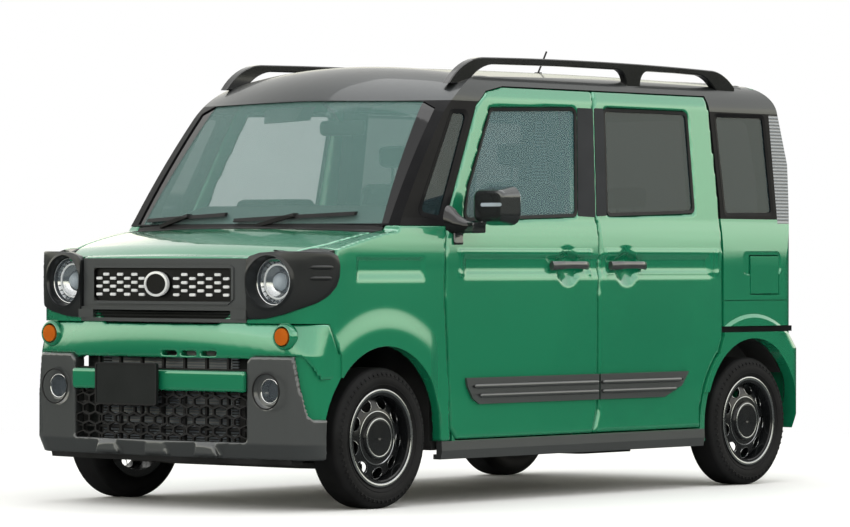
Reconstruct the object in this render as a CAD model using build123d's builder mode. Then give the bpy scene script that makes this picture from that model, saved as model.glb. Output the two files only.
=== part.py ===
from build123d import *
import math
import os

# Tall-wagon kei car.
# Frame: millimetres, +Z up, nose towards -Y, the car's left side is +X.
# Origin: on the ground, in the middle of the overall length and width.

# ---------------------------------------------------------------- body sizes
half_width = 737.5
body_floor_z = 200.0
sill_x = 722.0
sill_z = 255.0
flank_low_z = 430.0
flank_high_z = 930.0
belt_z = 1135.0
belt_x = 716.5
rail_x = 667.0
rail_z = 1612.0
rail_radius = 130.0
nose_y = -1675.0
nose_lean_z = 940.0
hood_nose_y = -1630.0
hood_nose_z = 1004.0
cowl_y = -1172.0
cowl_z = 1102.0
screen_top_y = -815.0
screen_top_z = 1618.0
roof_front_y = -430.0
roof_rear_y = 1390.0
roof_z = 1760.0
tail_top_y = 1566.0
tail_top_z = 1617.0
tail_y = 1626.0
tail_knee_z = 1250.0
bow_radius = 2900.0
crown_radius = 3750.0
hood_crown_radius = 14000.0
nose_corner = 180.0
tail_corner = 100.0
wall_side = 48.0
wall_skin = 26.0
wall_tail = 42.0
glass_set = 6.0
glass_t = 5.0
panel_gap = 5.0

# ------------------------------------------------------------------- running
front_axle_y = -1172.0
rear_axle_y = 1288.0
wheel_x = 648.0
tyre_radius = 275.0
tyre_width = 155.0
arch_radius = 345.0
arch_z = 288.0
arch_depth = 330.0
rim_radius = 192.0
barrel_radius = 172.0
barrel_wall = 7.0
hub_bore = 30.0
running_gap = 0.05
seat_gap = 0.3

# --------------------------------------------------------------------- doors
hinge_edge = [(-732, 258), (-765, 298), (-777, 482), (-800, 811), (-795, 1000), (-773, 1128)]
door_front_top = [(-525, 1590), (-452, 1645), (-330, 1668)]
split_line = [(255, 1668), (240, 1600), (199, 1142), (208, 1069), (190, 822), (190, 349), (155, 258)]
slide_top_y = 1052.0
slide_edge = [(1052, 1668), (1060, 1600), (1078, 1215), (1068, 970), (1068, 645)]
slide_base_y = 905.0
door_top_z = 1668.0
door_base_z = 258.0
window_corner = 26.0
handle_z = 945.0
handle_places = {"front": -12.0, "slide": 386.0}
bowl_radius = 84.0
bowl_depth = 22.0
band_low_z = 905.0
band_high_z = 1012.0
band_depth = 6.0
blister_radius = 452.0
blister_depth = 7.0
door_arch_radius = 382.0
front_window = [(-672, 1124), (76, 1147), (130, 1598), (-440, 1582), (-622, 1262)]
slide_window = [(275, 1150), (897, 1169), (900, 1600), (313, 1600)]
quarter_window = [(1108, 1156), (1478, 1160), (1468, 1602), (1092, 1600)]
corner_window = [(-960, 1146), (-806, 1124), (-566, 1572), (-690, 1572)]


def front_fall(x):
    return x * x / 2 / bow_radius


def crown_fall(x, radius):
    return x * x / 2 / radius


def arc_mid(start, end, rise):
    dy = end[0] - start[0]
    dz = end[1] - start[1]
    span = math.hypot(dy, dz)
    return ((start[0] + end[0]) / 2 - dz / span * rise, (start[1] + end[1]) / 2 + dy / span * rise)


def envelope(side, skin, tail):
    """Outer body volume, pulled in by a side, skin and tail thickness."""
    with BuildPart() as body:
        for x in (-half_width - 22, -half_width / 2, 0, half_width / 2, half_width + 22):
            bow = front_fall(x)
            crown = crown_fall(x, crown_radius)
            swell = crown_fall(x, hood_crown_radius)
            base_front = (nose_y - 60 + bow, 140)
            lip = (nose_y - 60 + bow, nose_lean_z - skin)
            hood_front = (hood_nose_y + bow + skin * 0.3, hood_nose_z - swell - skin)
            hood_back = (cowl_y + bow + skin * 0.55, cowl_z - swell - skin)
            header = (screen_top_y + bow + skin * 0.82, screen_top_z - crown - skin * 0.57)
            roof_front = (roof_front_y + bow, roof_z - crown - skin)
            roof_rear = (roof_rear_y, roof_z - crown - skin)
            tail_top = (tail_top_y - tail, tail_top_z - skin * 0.3)
            tail_knee = (tail_y + 12 - tail, tail_knee_z)
            base_rear = (tail_y + 12 - tail, 140)
            with BuildSketch(Plane.YZ.offset(x)):
                with BuildLine():
                    Line(base_front, lip)
                    ThreePointArc(lip, arc_mid(lip, hood_front, 18), hood_front)
                    ThreePointArc(hood_front, arc_mid(hood_front, hood_back, 10), hood_back)
                    ThreePointArc(hood_back, arc_mid(hood_back, header, 12), header)
                    ThreePointArc(header, arc_mid(header, roof_front, 46), roof_front)
                    ThreePointArc(roof_front, arc_mid(roof_front, roof_rear, 8), roof_rear)
                    ThreePointArc(roof_rear, arc_mid(roof_rear, tail_top, 52), tail_top)
                    Polyline(tail_top, tail_knee, base_rear, base_front)
                make_face()
        loft()
        lean = math.atan2(rail_x - belt_x, rail_z - belt_z)
        radius = rail_radius - side * 0.3
        rail = (rail_x - side, rail_z)
        centre = (rail[0] - radius * math.cos(lean), rail[1] + radius * math.sin(lean))
        turn = math.radians(48)
        shoulder = (centre[0] + radius * math.cos(turn), centre[1] + radius * math.sin(turn))
        crest = (centre[0], centre[1] + radius)
        with BuildSketch(Plane.XZ):
            with BuildLine():
                Polyline((0, 140), (sill_x - side, 140), (sill_x + 8 - side, sill_z),
                         (half_width - side, flank_low_z), (half_width - side, flank_high_z))
                ThreePointArc((half_width - side, flank_high_z), (half_width - 5.5 - side, 1040),
                              (belt_x - side, belt_z))
                Line((belt_x - side, belt_z), rail)
                ThreePointArc(rail, shoulder, crest)
                Polyline(crest, (crest[0], 1900), (0, 1900))
                mirror(about=Plane.YZ)
            make_face()
        extrude(amount=2000, both=True, mode=Mode.INTERSECT)
        nose_r = nose_corner - side
        tail_r = tail_corner - side
        edge = half_width - side
        turn_x = edge - nose_r
        face = nose_y + front_fall(turn_x) + skin
        bend = math.radians(52)
        back = tail_y - tail
        flat = math.sqrt(0.5)
        with BuildSketch(Plane.XY):
            with BuildLine():
                ThreePointArc((0, nose_y + skin), (300, nose_y + front_fall(300) + skin), (turn_x, face))
                ThreePointArc((turn_x, face), (turn_x + nose_r * math.sin(bend),
                              face + nose_r - nose_r * math.cos(bend)), (edge, face + nose_r * 1.05))
                Line((edge, face + nose_r * 1.05), (edge, back - tail_r))
                ThreePointArc((edge, back - tail_r), (edge - tail_r * (1 - flat), back - tail_r * (1 - flat)),
                              (edge - tail_r, back))
                Line((edge - tail_r, back), (0, back + 6))
                mirror(about=Plane.YZ)
            make_face()
        extrude(amount=2000, both=True, mode=Mode.INTERSECT)
    return body.part


def side_prism(points, near, far, shrink=0.0, corner=0.0):
    """Prism seen from the side, between two distances from the centre plane."""
    with BuildPart() as prism:
        with BuildSketch(Plane.YZ.offset(near)) as outline:
            with BuildLine():
                Polyline(*points, close=True)
            make_face()
            if corner:
                fillet(outline.vertices(), radius=corner)
            if shrink:
                offset(amount=-shrink, kind=Kind.INTERSECTION, mode=Mode.REPLACE)
        extrude(amount=far - near)
    return prism.part


def door_prism(points, side, shrink=0.0):
    """Door outline seen from the side, cleared round the rear wheel arch."""
    near = min(side_in * side, side_out * side)
    with BuildPart() as prism:
        with BuildSketch(Plane.YZ.offset(near)):
            with BuildLine():
                Polyline(*points, close=True)
            make_face()
            if shrink:
                offset(amount=-shrink, kind=Kind.INTERSECTION, mode=Mode.REPLACE)
            with Locations((rear_axle_y, arch_z)):
                Circle(door_arch_radius + shrink, mode=Mode.SUBTRACT)
        extrude(amount=side_out - side_in)
    return prism.part


def front_prism(points, near, far, shrink=0.0):
    """Prism seen from the front, mirrored to both sides, between two values of y."""
    with BuildPart() as prism:
        with BuildSketch(Plane.XZ.offset(-near)):
            with BuildLine():
                Polyline(*points)
                mirror(about=Plane.YZ)
            make_face()
            if shrink:
                offset(amount=-shrink, kind=Kind.INTERSECTION, mode=Mode.REPLACE)
        extrude(amount=near - far)
    return prism.part


def pair_prism(points, near, far):
    """Closed outline seen from the front, on both sides of the car."""
    with BuildPart() as prism:
        for side in (1, -1):
            with BuildSketch(Plane.XZ.offset(-near)):
                with BuildLine():
                    Polyline(*[(x * side, z) for x, z in points], close=True)
                make_face()
            extrude(amount=near - far)
    return prism.part


def block(x0, x1, y0, y1, z0, z1):
    with BuildPart() as box:
        with BuildSketch(Plane.XY.offset(z0)):
            with Locations(((x0 + x1) / 2, (y0 + y1) / 2)):
                Rectangle(x1 - x0, y1 - y0)
        extrude(amount=z1 - z0)
    return box.part


def drum(y, z, radius, near, far):
    with BuildPart() as cylinder:
        with BuildSketch(Plane.YZ.offset(near)):
            with Locations((y, z)):
                Circle(radius)
        extrude(amount=far - near)
    return cylinder.part


def finish(part, name):
    part.label = name
    export_step(part, "parts/" + name + ".step")


os.makedirs("parts", exist_ok=True)
side_in = 470.0
side_out = half_width + 60

door_zone = hinge_edge + door_front_top + split_line
slide_zone = [(y + panel_gap, z) for y, z in reversed(split_line)] + slide_edge + [(slide_base_y, 258)]

# ------------------------------------------------------- outer shell, glazing
outer = envelope(0, 0, 0)
liner = envelope(wall_side, wall_skin, wall_tail)
with BuildPart() as shell:
    add(outer)
    add(liner, mode=Mode.SUBTRACT)
    add(block(-800, 800, -1800, 1800, 0, body_floor_z), mode=Mode.SUBTRACT)
    for axle_y in (front_axle_y, rear_axle_y):
        add(drum(axle_y, arch_z, arch_radius, -800, 800), mode=Mode.SUBTRACT)

with BuildPart() as glazing:
    add(envelope(glass_set, glass_set, glass_set))
    add(envelope(glass_set + glass_t, glass_set + glass_t, glass_set + glass_t), mode=Mode.SUBTRACT)

hood_line_y = cowl_y - 62
hood_half_front = 545.0
hood_half_rear = 655.0
hood_edge_z = 978.0


def hood_plan(low, high, grow):
    """Plan outline of the hood, grown on every side by a gap."""
    back = hood_line_y + grow
    corner = hood_half_rear + grow
    with BuildPart() as plan:
        with BuildSketch(Plane.XY.offset(low)):
            with BuildLine():
                Polyline((0, -1750), (hood_half_front + grow, -1750), (hood_half_front + grow, -1640),
                         (corner - 14, -1420), (corner, -1280), (corner, back + front_fall(corner)))
                ThreePointArc((corner, back + front_fall(corner)), (corner / 2, back + front_fall(corner / 2)),
                              (0, back))
                mirror(about=Plane.YZ)
            make_face()
        extrude(amount=high - low)
    return plan.part


def behind_bow(start, low, high):
    """Everything behind the bowed cross line that meets the centre plane at start."""
    with BuildPart() as plan:
        with BuildSketch(Plane.XY.offset(low)):
            with BuildLine():
                Polyline((0, 2000), (800, 2000), (800, start + front_fall(800)))
                ThreePointArc((800, start + front_fall(800)), (400, start + front_fall(400)), (0, start))
                mirror(about=Plane.YZ)
            make_face()
        extrude(amount=high - low)
    return plan.part


screen_base_z = 1112.0
screen_outline = [(0, screen_base_z), (672, screen_base_z), (628, 1575), (560, 1604), (0, 1612)]
tail_split_y = 1470.0
gate_outline = [(0, 655), (642, 655), (642, 985), (606, 1130), (606, 1180), (596, 1560), (592, 1800), (0, 1800)]
gate_window = [(0, 1165), (540, 1165), (552, 1185), (528, 1560), (500, 1585), (0, 1590)]
lamp_outline = [(616, 1128), (616, 1182), (606, 1560), (605, 1600), (760, 1600), (760, 1128)]
bumper_line_z = 650.0
headlamp_rear = [(-1760, 725), (-1600, 728), (-1564, 840), (-1497, 919), (-1459, 1003), (-1462, 1013),
                 (-1760, 1013)]
headlamp_inner_x = 435.0


# ------------------------------------------------------------------ body frame
guard_inner_x = 706.0
guard_high = 252.0
door_inner_x = half_width - wall_side
lid_inner_x = half_width - 8
lid_outline = [(1271, 825), (1271, 987), (1479, 987), (1479, 825)]
lid_y = 1375.0
lid_z = 906.0


def span(near, far, side):
    """Range of x for a block on one side of the car."""
    return min(near * side, far * side), max(near * side, far * side)


slide_slot = [(1060, 660), (1700, 660), (1700, 686), (1060, 686)]
slide_slot_x = 712.0
quarter_seam = [(1060, 794), (1700, 794), (1700, 798), (1060, 798)]
quarter_seam_x = 729.0
quarter_band = (1215.0, 1500.0)
pad_x = 676.0
pad_z = (870.0, 900.0)
door_pad_y = (160.0, 182.0)
slide_pad_y = (214.0, 236.0)
shelf_front_y = 1484.0
lid_pocket_x = 695.0
lid_neck_radius = 30.0
pillar_line = [(636, 250), (676, 250), (680, 930), (660, 1135), (612, 1612), (575, 1702),
               (520, 1708), (520, 1650), (552, 1600), (610, 1135), (636, 930)]
pillar_y = 150.0
pillar_width = 95.0
roof_line_z = 1606.0
belt_front_z = 1105.0
belt_rear_z = 1146.0


def bulge_over(axle_y, side):
    """Soft-edged swelling of the side panel over a wheel arch."""
    with BuildPart() as swelling:
        with BuildSketch(Plane(origin=((half_width - 1) * side, axle_y, arch_z), x_dir=(0, 1, 0), z_dir=(side, 0, 0))):
            Circle(blister_radius)
        extrude(amount=blister_depth + 1, taper=66)
        add(block(-900, 900, axle_y - 500, axle_y + 500, -300, arch_z + 120), mode=Mode.SUBTRACT)
        add(drum(axle_y, arch_z, arch_radius, -900, 900), mode=Mode.SUBTRACT)
    return swelling.part


def side_band(start, end, side):
    """Shallow trough along the side under the belt, with sloping edges."""
    middle = (start + end) / 2
    with BuildPart() as trough:
        with BuildSketch(Plane(origin=(half_width * side, middle, (band_low_z + band_high_z) / 2),
                               x_dir=(0, 1, 0), z_dir=(-side, 0, 0))):
            RectangleRounded(end - start, band_high_z - band_low_z, 30)
        extrude(amount=band_depth, taper=50)
    return trough.part


def handle_bowl(y, side):
    ball = (bowl_radius ** 2 + bowl_depth ** 2) / (2 * bowl_depth)
    with BuildPart() as bowl:
        with Locations(((half_width - bowl_depth + ball) * side, y, handle_z)):
            Sphere(ball)
    return bowl.part


with BuildPart() as cabin_shell:
    add(shell.part)
    add(behind_bow(cowl_y + 8, 0, 1900), mode=Mode.INTERSECT)
    for side in (1, -1):
        near = min(side_in * side, side_out * side)
        far = max(side_in * side, side_out * side)
        for zone in (door_zone, slide_zone):
            add(door_prism(zone, side, -panel_gap), mode=Mode.SUBTRACT)
        for zone in (quarter_window, corner_window):
            add(side_prism(zone, near, far, corner=window_corner), mode=Mode.SUBTRACT)
    add(front_prism(screen_outline, -1400, -500), mode=Mode.SUBTRACT)
    add(front_prism(gate_outline, tail_split_y - panel_gap, 1800, -panel_gap), mode=Mode.SUBTRACT)
    add(pair_prism(lamp_outline, 1500, 1800), mode=Mode.SUBTRACT)
    add(block(-800, 800, -1800, screen_top_y + 60, 0, belt_front_z), mode=Mode.SUBTRACT)
    add(block(-800, 800, shelf_front_y - 4, 1800, 0, bumper_line_z), mode=Mode.SUBTRACT)
    for side in (1, -1):
        add(block(*span(guard_inner_x, 800, side), -822, 940, 0, guard_high), mode=Mode.SUBTRACT)

with BuildPart() as pillar_posts:
    add(pair_prism(pillar_line, pillar_y, pillar_y + pillar_width))

with BuildPart() as body_frame:
    add(cabin_shell.part)
    add(pillar_posts.part)
    add(block(-800, 800, -1400, 0, belt_front_z, 1900), mode=Mode.SUBTRACT)
    add(block(-800, 800, 0, 1800, belt_rear_z, 1900), mode=Mode.SUBTRACT)
    for side in (1, -1):
        add(bulge_over(rear_axle_y, side))
        add(side_band(*quarter_band, side), mode=Mode.SUBTRACT)
        add(door_prism(slide_zone, side, -panel_gap), mode=Mode.SUBTRACT)
        add(side_prism(slide_slot, *span(slide_slot_x, 800, side)), mode=Mode.SUBTRACT)
        add(side_prism(quarter_seam, *span(quarter_seam_x, 800, side)), mode=Mode.SUBTRACT)
        add(block(*span(pad_x, door_inner_x - seat_gap, side), *door_pad_y, *pad_z))
        add(block(*span(pad_x, door_inner_x, side), *slide_pad_y, *pad_z))
        add(block(*span(pad_x - 40, pad_x, side), pillar_y + 10, pillar_y + pillar_width - 9, *pad_z))
    add(block(-900, 900, shelf_front_y, 1800, 0, bumper_line_z), mode=Mode.SUBTRACT)
    add(side_prism(lid_outline, lid_pocket_x, 760, -panel_gap), mode=Mode.SUBTRACT)
    add(drum(lid_y, lid_z, lid_neck_radius, lid_pocket_x - 1, lid_inner_x - seat_gap))
finish(body_frame.part, "body_frame")

with BuildPart() as pillars:
    add(cabin_shell.part)
    add(pillar_posts.part)
    add(block(-800, 800, -1400, 1800, belt_front_z, roof_line_z), mode=Mode.INTERSECT)
    add(block(-800, 800, 0, 1800, belt_front_z, belt_rear_z), mode=Mode.SUBTRACT)
    for side in (1, -1):
        add(block(*span(632, 690, side), -1000, -806, belt_front_z, belt_front_z + 20))
finish(pillars.part, "pillars")

# ------------------------------------------------------- roof, fenders, cowl
with BuildPart() as roof_panel:
    add(cabin_shell.part)
    add(pillar_posts.part)
    add(block(-800, 800, -1400, 1800, roof_line_z, 1900), mode=Mode.INTERSECT)
finish(roof_panel.part, "roof_panel")

fender_base_z = 352.0
fender_zone = [(-770, 253)] + [(y - panel_gap, z) for y, z in hinge_edge[1:-1]]
fender_zone += [(-780, 1105), (-1800, 1105), (-1800, 253)]
bumper_rear = [(-1800, 180), (-1440, 180), (-1440, 600), (-1560, 838), (-1800, 838)]
with BuildPart() as front_fenders:
    add(shell.part)
    add(side_prism(fender_zone, -800, 800), mode=Mode.INTERSECT)
    add(hood_plan(0, 1900, panel_gap), mode=Mode.SUBTRACT)
    add(block(-500, 500, -1800, -700, 0, 1900), mode=Mode.SUBTRACT)
    add(side_prism(headlamp_rear, -800, 800), mode=Mode.SUBTRACT)
    add(side_prism(bumper_rear, -800, 800), mode=Mode.SUBTRACT)
    add(block(-656, 656, -1300, -700, 0, 1900), mode=Mode.SUBTRACT)
    for side in (1, -1):
        add(bulge_over(front_axle_y, side))
    add(side_prism(bumper_rear, -900, 900), mode=Mode.SUBTRACT)
    add(side_prism([(-860, 0), (-650, 0), (-650, 1200), (-780, 1105)] +
                   [(y - panel_gap, z) for y, z in reversed(hinge_edge[1:-1])] + [(-770, 253)],
                   -900, 900), mode=Mode.SUBTRACT)
finish(front_fenders.part, "front_fenders")

with BuildPart() as hood:
    add(shell.part)
    add(hood_plan(hood_edge_z, 1900, 0), mode=Mode.INTERSECT)
finish(hood.part, "hood")

with BuildPart() as cowl:
    add(shell.part)
    add(behind_bow(hood_line_y + panel_gap + 1, 900, 1120), mode=Mode.INTERSECT)
    add(block(-hood_half_rear, hood_half_rear, -1400, -900, 900, 1110), mode=Mode.INTERSECT)
    add(behind_bow(cowl_y + 8, 0, 1900), mode=Mode.SUBTRACT)
finish(cowl.part, "cowl")

# ------------------------------------------------------------------- glazing
with BuildPart() as windscreen:
    add(glazing.part)
    add(front_prism(screen_outline, -1400, -600), mode=Mode.INTERSECT)
finish(windscreen.part, "windscreen")

with BuildPart() as panes:
    for side in (1, -1):
        near = min(600 * side, side_out * side)
        far = max(600 * side, side_out * side)
        for zone in (quarter_window, corner_window):
            add(side_prism(zone, near, far, corner=window_corner))
with BuildPart() as side_glass:
    add(glazing.part)
    add(panes.part, mode=Mode.INTERSECT)
finish(side_glass.part, "side_glass")

# --------------------------------------------------------------- front doors
window_inner = 560.0
mirror_gap = 6.0


def make_door(side, zone, window, band, handle_y):
    with BuildPart() as door:
        add(shell.part)
        add(door_prism(zone, side), mode=Mode.INTERSECT)
        add(side_prism(window, *span(side_in, side_out, side), corner=window_corner), mode=Mode.SUBTRACT)
        add(side_band(*band, side), mode=Mode.SUBTRACT)
        add(handle_bowl(handle_y, side), mode=Mode.SUBTRACT)
    return door.part


def make_pane(side, window):
    with BuildPart() as pane:
        add(glazing.part)
        add(side_prism(window, *span(window_inner, side_out, side), corner=window_corner), mode=Mode.INTERSECT)
    return pane.part


front_band = (-720.0, 150.0)
slide_band = (240.0, 1040.0)
for side, word in ((1, "left"), (-1, "right")):
    finish(make_door(side, door_zone, front_window, front_band, handle_places["front"]), "door_" + word)
    finish(make_pane(side, front_window), "door_glass_" + word)

with BuildPart() as sliding_doors:
    add(make_door(1, slide_zone, slide_window, slide_band, handle_places["slide"]))
    add(make_door(-1, slide_zone, slide_window, slide_band, handle_places["slide"]))
finish(sliding_doors.part, "sliding_doors")

with BuildPart() as sliding_door_glass:
    add(make_pane(1, slide_window))
    add(make_pane(-1, slide_window))
finish(sliding_door_glass.part, "sliding_door_glass")

# ------------------------------------------------------------- side mouldings
moulding_proud = 10.0
rib_depth = 4.0
door_moulding = [(-682, 500), (-676, 468), (-640, 416), (-600, 395), (184, 395), (184, 500)]
slide_moulding = [(195, 395), (640, 395), (760, 440), (811, 500), (195, 500)]
rib_levels = (432.0, 466.0)
rib_width = 7.0

with BuildPart() as moulding_skin:
    add(envelope(-moulding_proud, 0, 0))
    add(outer, mode=Mode.SUBTRACT)
    for level in rib_levels:
        for side in (1, -1):
            add(block(*span(half_width + moulding_proud - rib_depth, 800, side), -648, 768,
                      level - rib_width / 2, level + rib_width / 2), mode=Mode.SUBTRACT)


def make_moulding(side, zone):
    with BuildPart() as moulding:
        add(side_prism(zone, *span(600, 800, side)))
        add(moulding_skin.part, mode=Mode.INTERSECT)
    return moulding.part


for side, word in ((1, "left"), (-1, "right")):
    finish(make_moulding(side, door_moulding), "door_moulding_" + word)
with BuildPart() as side_mouldings:
    add(make_moulding(1, slide_moulding))
    add(make_moulding(-1, slide_moulding))
finish(side_mouldings.part, "side_mouldings")

# --------------------------------------------------------------------- wipers
blade_height = 15.0
blade_lift = 14.0
arm_lift = 26.0
blade_runs = [((-598, 1128), (-120, 1150)), ((-60, 1126), (520, 1152))]
arm_runs = [((-500, 1104), (-330, 1146)), ((60, 1104), (250, 1147))]


def screen_strip(start, end, height):
    """Slender prism seen from the front that follows a line on the windscreen."""
    lean = math.atan2(end[1] - start[1], end[0] - start[0])
    rise = Vector(-math.sin(lean), math.cos(lean)) * height / 2
    corners = [(start[0] - rise.X, start[1] - rise.Y), (end[0] - rise.X, end[1] - rise.Y),
               (end[0] + rise.X, end[1] + rise.Y), (start[0] + rise.X, start[1] + rise.Y)]
    with BuildPart() as strip:
        with BuildSketch(Plane.XZ.offset(1400)):
            with BuildLine():
                Polyline(*corners, close=True)
            make_face()
        extrude(amount=-700)
    return strip.part


with BuildPart() as wiper_arms:
    for start, end in arm_runs:
        add(screen_strip(start, end, blade_height))
    add(envelope(glass_set, -arm_lift, 0), mode=Mode.INTERSECT)

with BuildPart() as wipers:
    for start, end in blade_runs:
        add(screen_strip(start, end, blade_height))
    add(envelope(glass_set, -blade_lift, 0), mode=Mode.INTERSECT)
    add(wiper_arms.part)
    add(behind_bow(cowl_y - 4, 1000, 1300), mode=Mode.INTERSECT)
    add(envelope(glass_set, glass_set, glass_set), mode=Mode.SUBTRACT)
    add(shell.part, mode=Mode.SUBTRACT)
finish(wipers.part, "wipers")

# ------------------------------------------------------------------ tailgate
plate_recess = [(0, 765), (178, 765), (178, 940), (0, 940)]
recess_y = 1612.0
handle_bar = [(0, 944), (215, 944), (205, 978), (0, 978)]
handle_bar_y = 1642.0
with BuildPart() as tailgate:
    add(shell.part)
    add(front_prism(gate_outline, tail_split_y, 1800), mode=Mode.INTERSECT)
    add(front_prism(gate_window, 1480, 1800), mode=Mode.SUBTRACT)
    add(front_prism(plate_recess, recess_y, 1800), mode=Mode.SUBTRACT)
    add(front_prism(handle_bar, recess_y, handle_bar_y))
finish(tailgate.part, "tailgate")

with BuildPart() as tailgate_glass:
    add(glazing.part)
    add(front_prism(gate_window, 1500, 1800), mode=Mode.INTERSECT)
finish(tailgate_glass.part, "tailgate_glass")

with BuildPart() as tail_lamps:
    add(shell.part)
    add(pair_prism(lamp_outline, 1500, 1800), mode=Mode.INTERSECT)
finish(tail_lamps.part, "tail_lamps")

# ------------------------------------------------------------------- bumpers
bumper_y = -1697.5
bumper_radius = 4000.0
bumper_corner = 105.0
bumper_low_z = 200.0
bumper_mid_z = 600.0
bumper_top_z = 783.0
bumper_wall = 60.0


def bumper_plan(level, face_y, radius, corner, inset, rear_y):
    """Plan outline of a bumper, pulled in by an inset."""
    edge = half_width - inset
    bend = max(corner - inset, 20)
    turn = edge - bend
    front = face_y + inset
    fall = turn * turn / 2 / radius
    flat = math.sqrt(0.5)
    with BuildSketch(Plane.XY.offset(level)) as plan:
        with BuildLine():
            ThreePointArc((0, front), (turn / 2, front + fall / 4), (turn, front + fall))
            ThreePointArc((turn, front + fall), (turn + bend * flat, front + fall + bend * (1 - flat)),
                          (edge, front + fall + bend))
            Polyline((edge, front + fall + bend), (edge, rear_y), (0, rear_y))
            mirror(about=Plane.YZ)
        make_face()
    return plan.sketch


def bumper_body(inset, face_y):
    with BuildPart() as body:
        add(bumper_plan(bumper_low_z, face_y + 18, bumper_radius, bumper_corner, inset + 10, -1300))
        add(bumper_plan(bumper_low_z + 60, face_y, bumper_radius, bumper_corner, inset, -1300))
        loft()
        add(bumper_plan(bumper_low_z + 60, face_y, bumper_radius, bumper_corner, inset, -1300))
        extrude(amount=bumper_mid_z - bumper_low_z - 60)
        add(bumper_plan(bumper_mid_z, face_y, bumper_radius, bumper_corner, inset, -1300))
        add(bumper_plan(bumper_top_z, nose_y - 4, bow_radius, nose_corner, inset, -1300))
        loft()
    return body.part


guard_proud = 14.0
bumper_outer = bumper_body(0.0, bumper_y + guard_proud)
guard_outer = bumper_body(0.0, bumper_y)
bumper_inner = bumper_body(bumper_wall, bumper_y)
lower_opening_z = (266.0, 588.0)
upper_opening = [(0, 720), (300, 720), (364, 779), (0, 779)]
guard_inner_edge = 457.0
guard_outline = [(guard_inner_edge, 196), (760, 196), (760, 350), (742, 350), (742, 480), (716, 560), (690, 597),
                 (480, 597), (guard_inner_edge, 575)]
cross_bar = (-1688.0, 459.0, 540.0)
tooth_places = (-262.0, 0.0, 262.0)
tooth = [(-62, 210), (62, 210), (46, 252), (-46, 252)]
slot_places = (60.0, 160.0, 260.0)
lamp_x = 545.0
lamp_z = 885.0
lamp_radius = 88.0
indicator_x = 619.0
indicator_z = 674.0
indicator_radius = 33.0
fog_x = 563.0
fog_z = 465.0
fog_radius = 43.0
fog_recess = 70.0


def pair_rods(x, z, radius, near, far):
    with BuildPart() as rods:
        with BuildSketch(Plane.XZ.offset(-near)):
            with Locations((x, z), (-x, z)):
                Circle(radius)
        extrude(amount=near - far)
    return rods.part


with BuildPart() as bumper_skin:
    add(bumper_outer)
    add(bumper_inner, mode=Mode.SUBTRACT)
    add(side_prism(bumper_rear, -800, 800), mode=Mode.INTERSECT)
    add(drum(front_axle_y, arch_z, arch_radius, -800, 800), mode=Mode.SUBTRACT)

with BuildPart() as guard_skin:
    add(guard_outer)
    add(bumper_inner, mode=Mode.SUBTRACT)
    add(side_prism(bumper_rear, -800, 800), mode=Mode.INTERSECT)
    add(drum(front_axle_y, arch_z, arch_radius, -800, 800), mode=Mode.SUBTRACT)

with BuildPart() as guard_zone:
    add(pair_prism(guard_outline, -1750, -1380))
    add(block(-guard_inner_edge, guard_inner_edge, -1750, -1500, 196, lower_opening_z[0]))

with BuildPart() as front_bumper:
    add(bumper_skin.part)
    add(guard_zone.part, mode=Mode.SUBTRACT)
    add(block(-guard_inner_edge, guard_inner_edge, -1750, -1500, 190, lower_opening_z[1]), mode=Mode.SUBTRACT)
    add(front_prism(upper_opening, -1750, -1500), mode=Mode.SUBTRACT)
    for side in (1, -1):
        add(block(*span(headlamp_inner_x, 800, side), -1800, -1300, 722, 900), mode=Mode.SUBTRACT)
    add(pair_rods(indicator_x, indicator_z, indicator_radius, -1750, -1500), mode=Mode.SUBTRACT)
    with BuildSketch(Plane.XZ.offset(1750)):
        with Locations(*[(x, 606) for x in slot_places]):
            SlotOverall(82, 18)
    extrude(amount=-200, mode=Mode.SUBTRACT)
    add(block(-guard_inner_edge, guard_inner_edge, cross_bar[0], cross_bar[0] + 26, *cross_bar[1:]))
    fillet(front_bumper.edges().filter_by(Axis.X).filter_by_position(Axis.Y, cross_bar[0] - 1, cross_bar[0] + 1),
           radius=10)
finish(front_bumper.part, "front_bumper")

with BuildPart() as bumper_guard:
    add(guard_skin.part)
    add(guard_zone.part, mode=Mode.INTERSECT)
    add(pair_rods(fog_x, fog_z, fog_recess, -1750, -1655), mode=Mode.SUBTRACT)
    add(pair_rods(fog_x, fog_z, fog_radius, -1750, -1500), mode=Mode.SUBTRACT)
    for x in tooth_places:
        with BuildSketch(Plane.XZ.offset(-bumper_y)):
            with BuildLine():
                Polyline(*[(x + px, pz) for px, pz in tooth], close=True)
            make_face()
        extrude(amount=-30)
finish(bumper_guard.part, "bumper_guard")

slat_count = 6
with BuildPart() as lower_grille:
    step = (lower_opening_z[1] - lower_opening_z[0]) / (slat_count + 1)
    for index in range(slat_count):
        level = lower_opening_z[0] + (index + 1) * step
        add(block(-guard_inner_edge, guard_inner_edge, -1652, -1634, level - 4, level + 4))
    for x in (-343, -229, -114, 0, 114, 229, 343):
        add(block(x - 5, x + 5, -1650, -1636, *lower_opening_z))
finish(lower_grille.part, "lower_grille")

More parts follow.
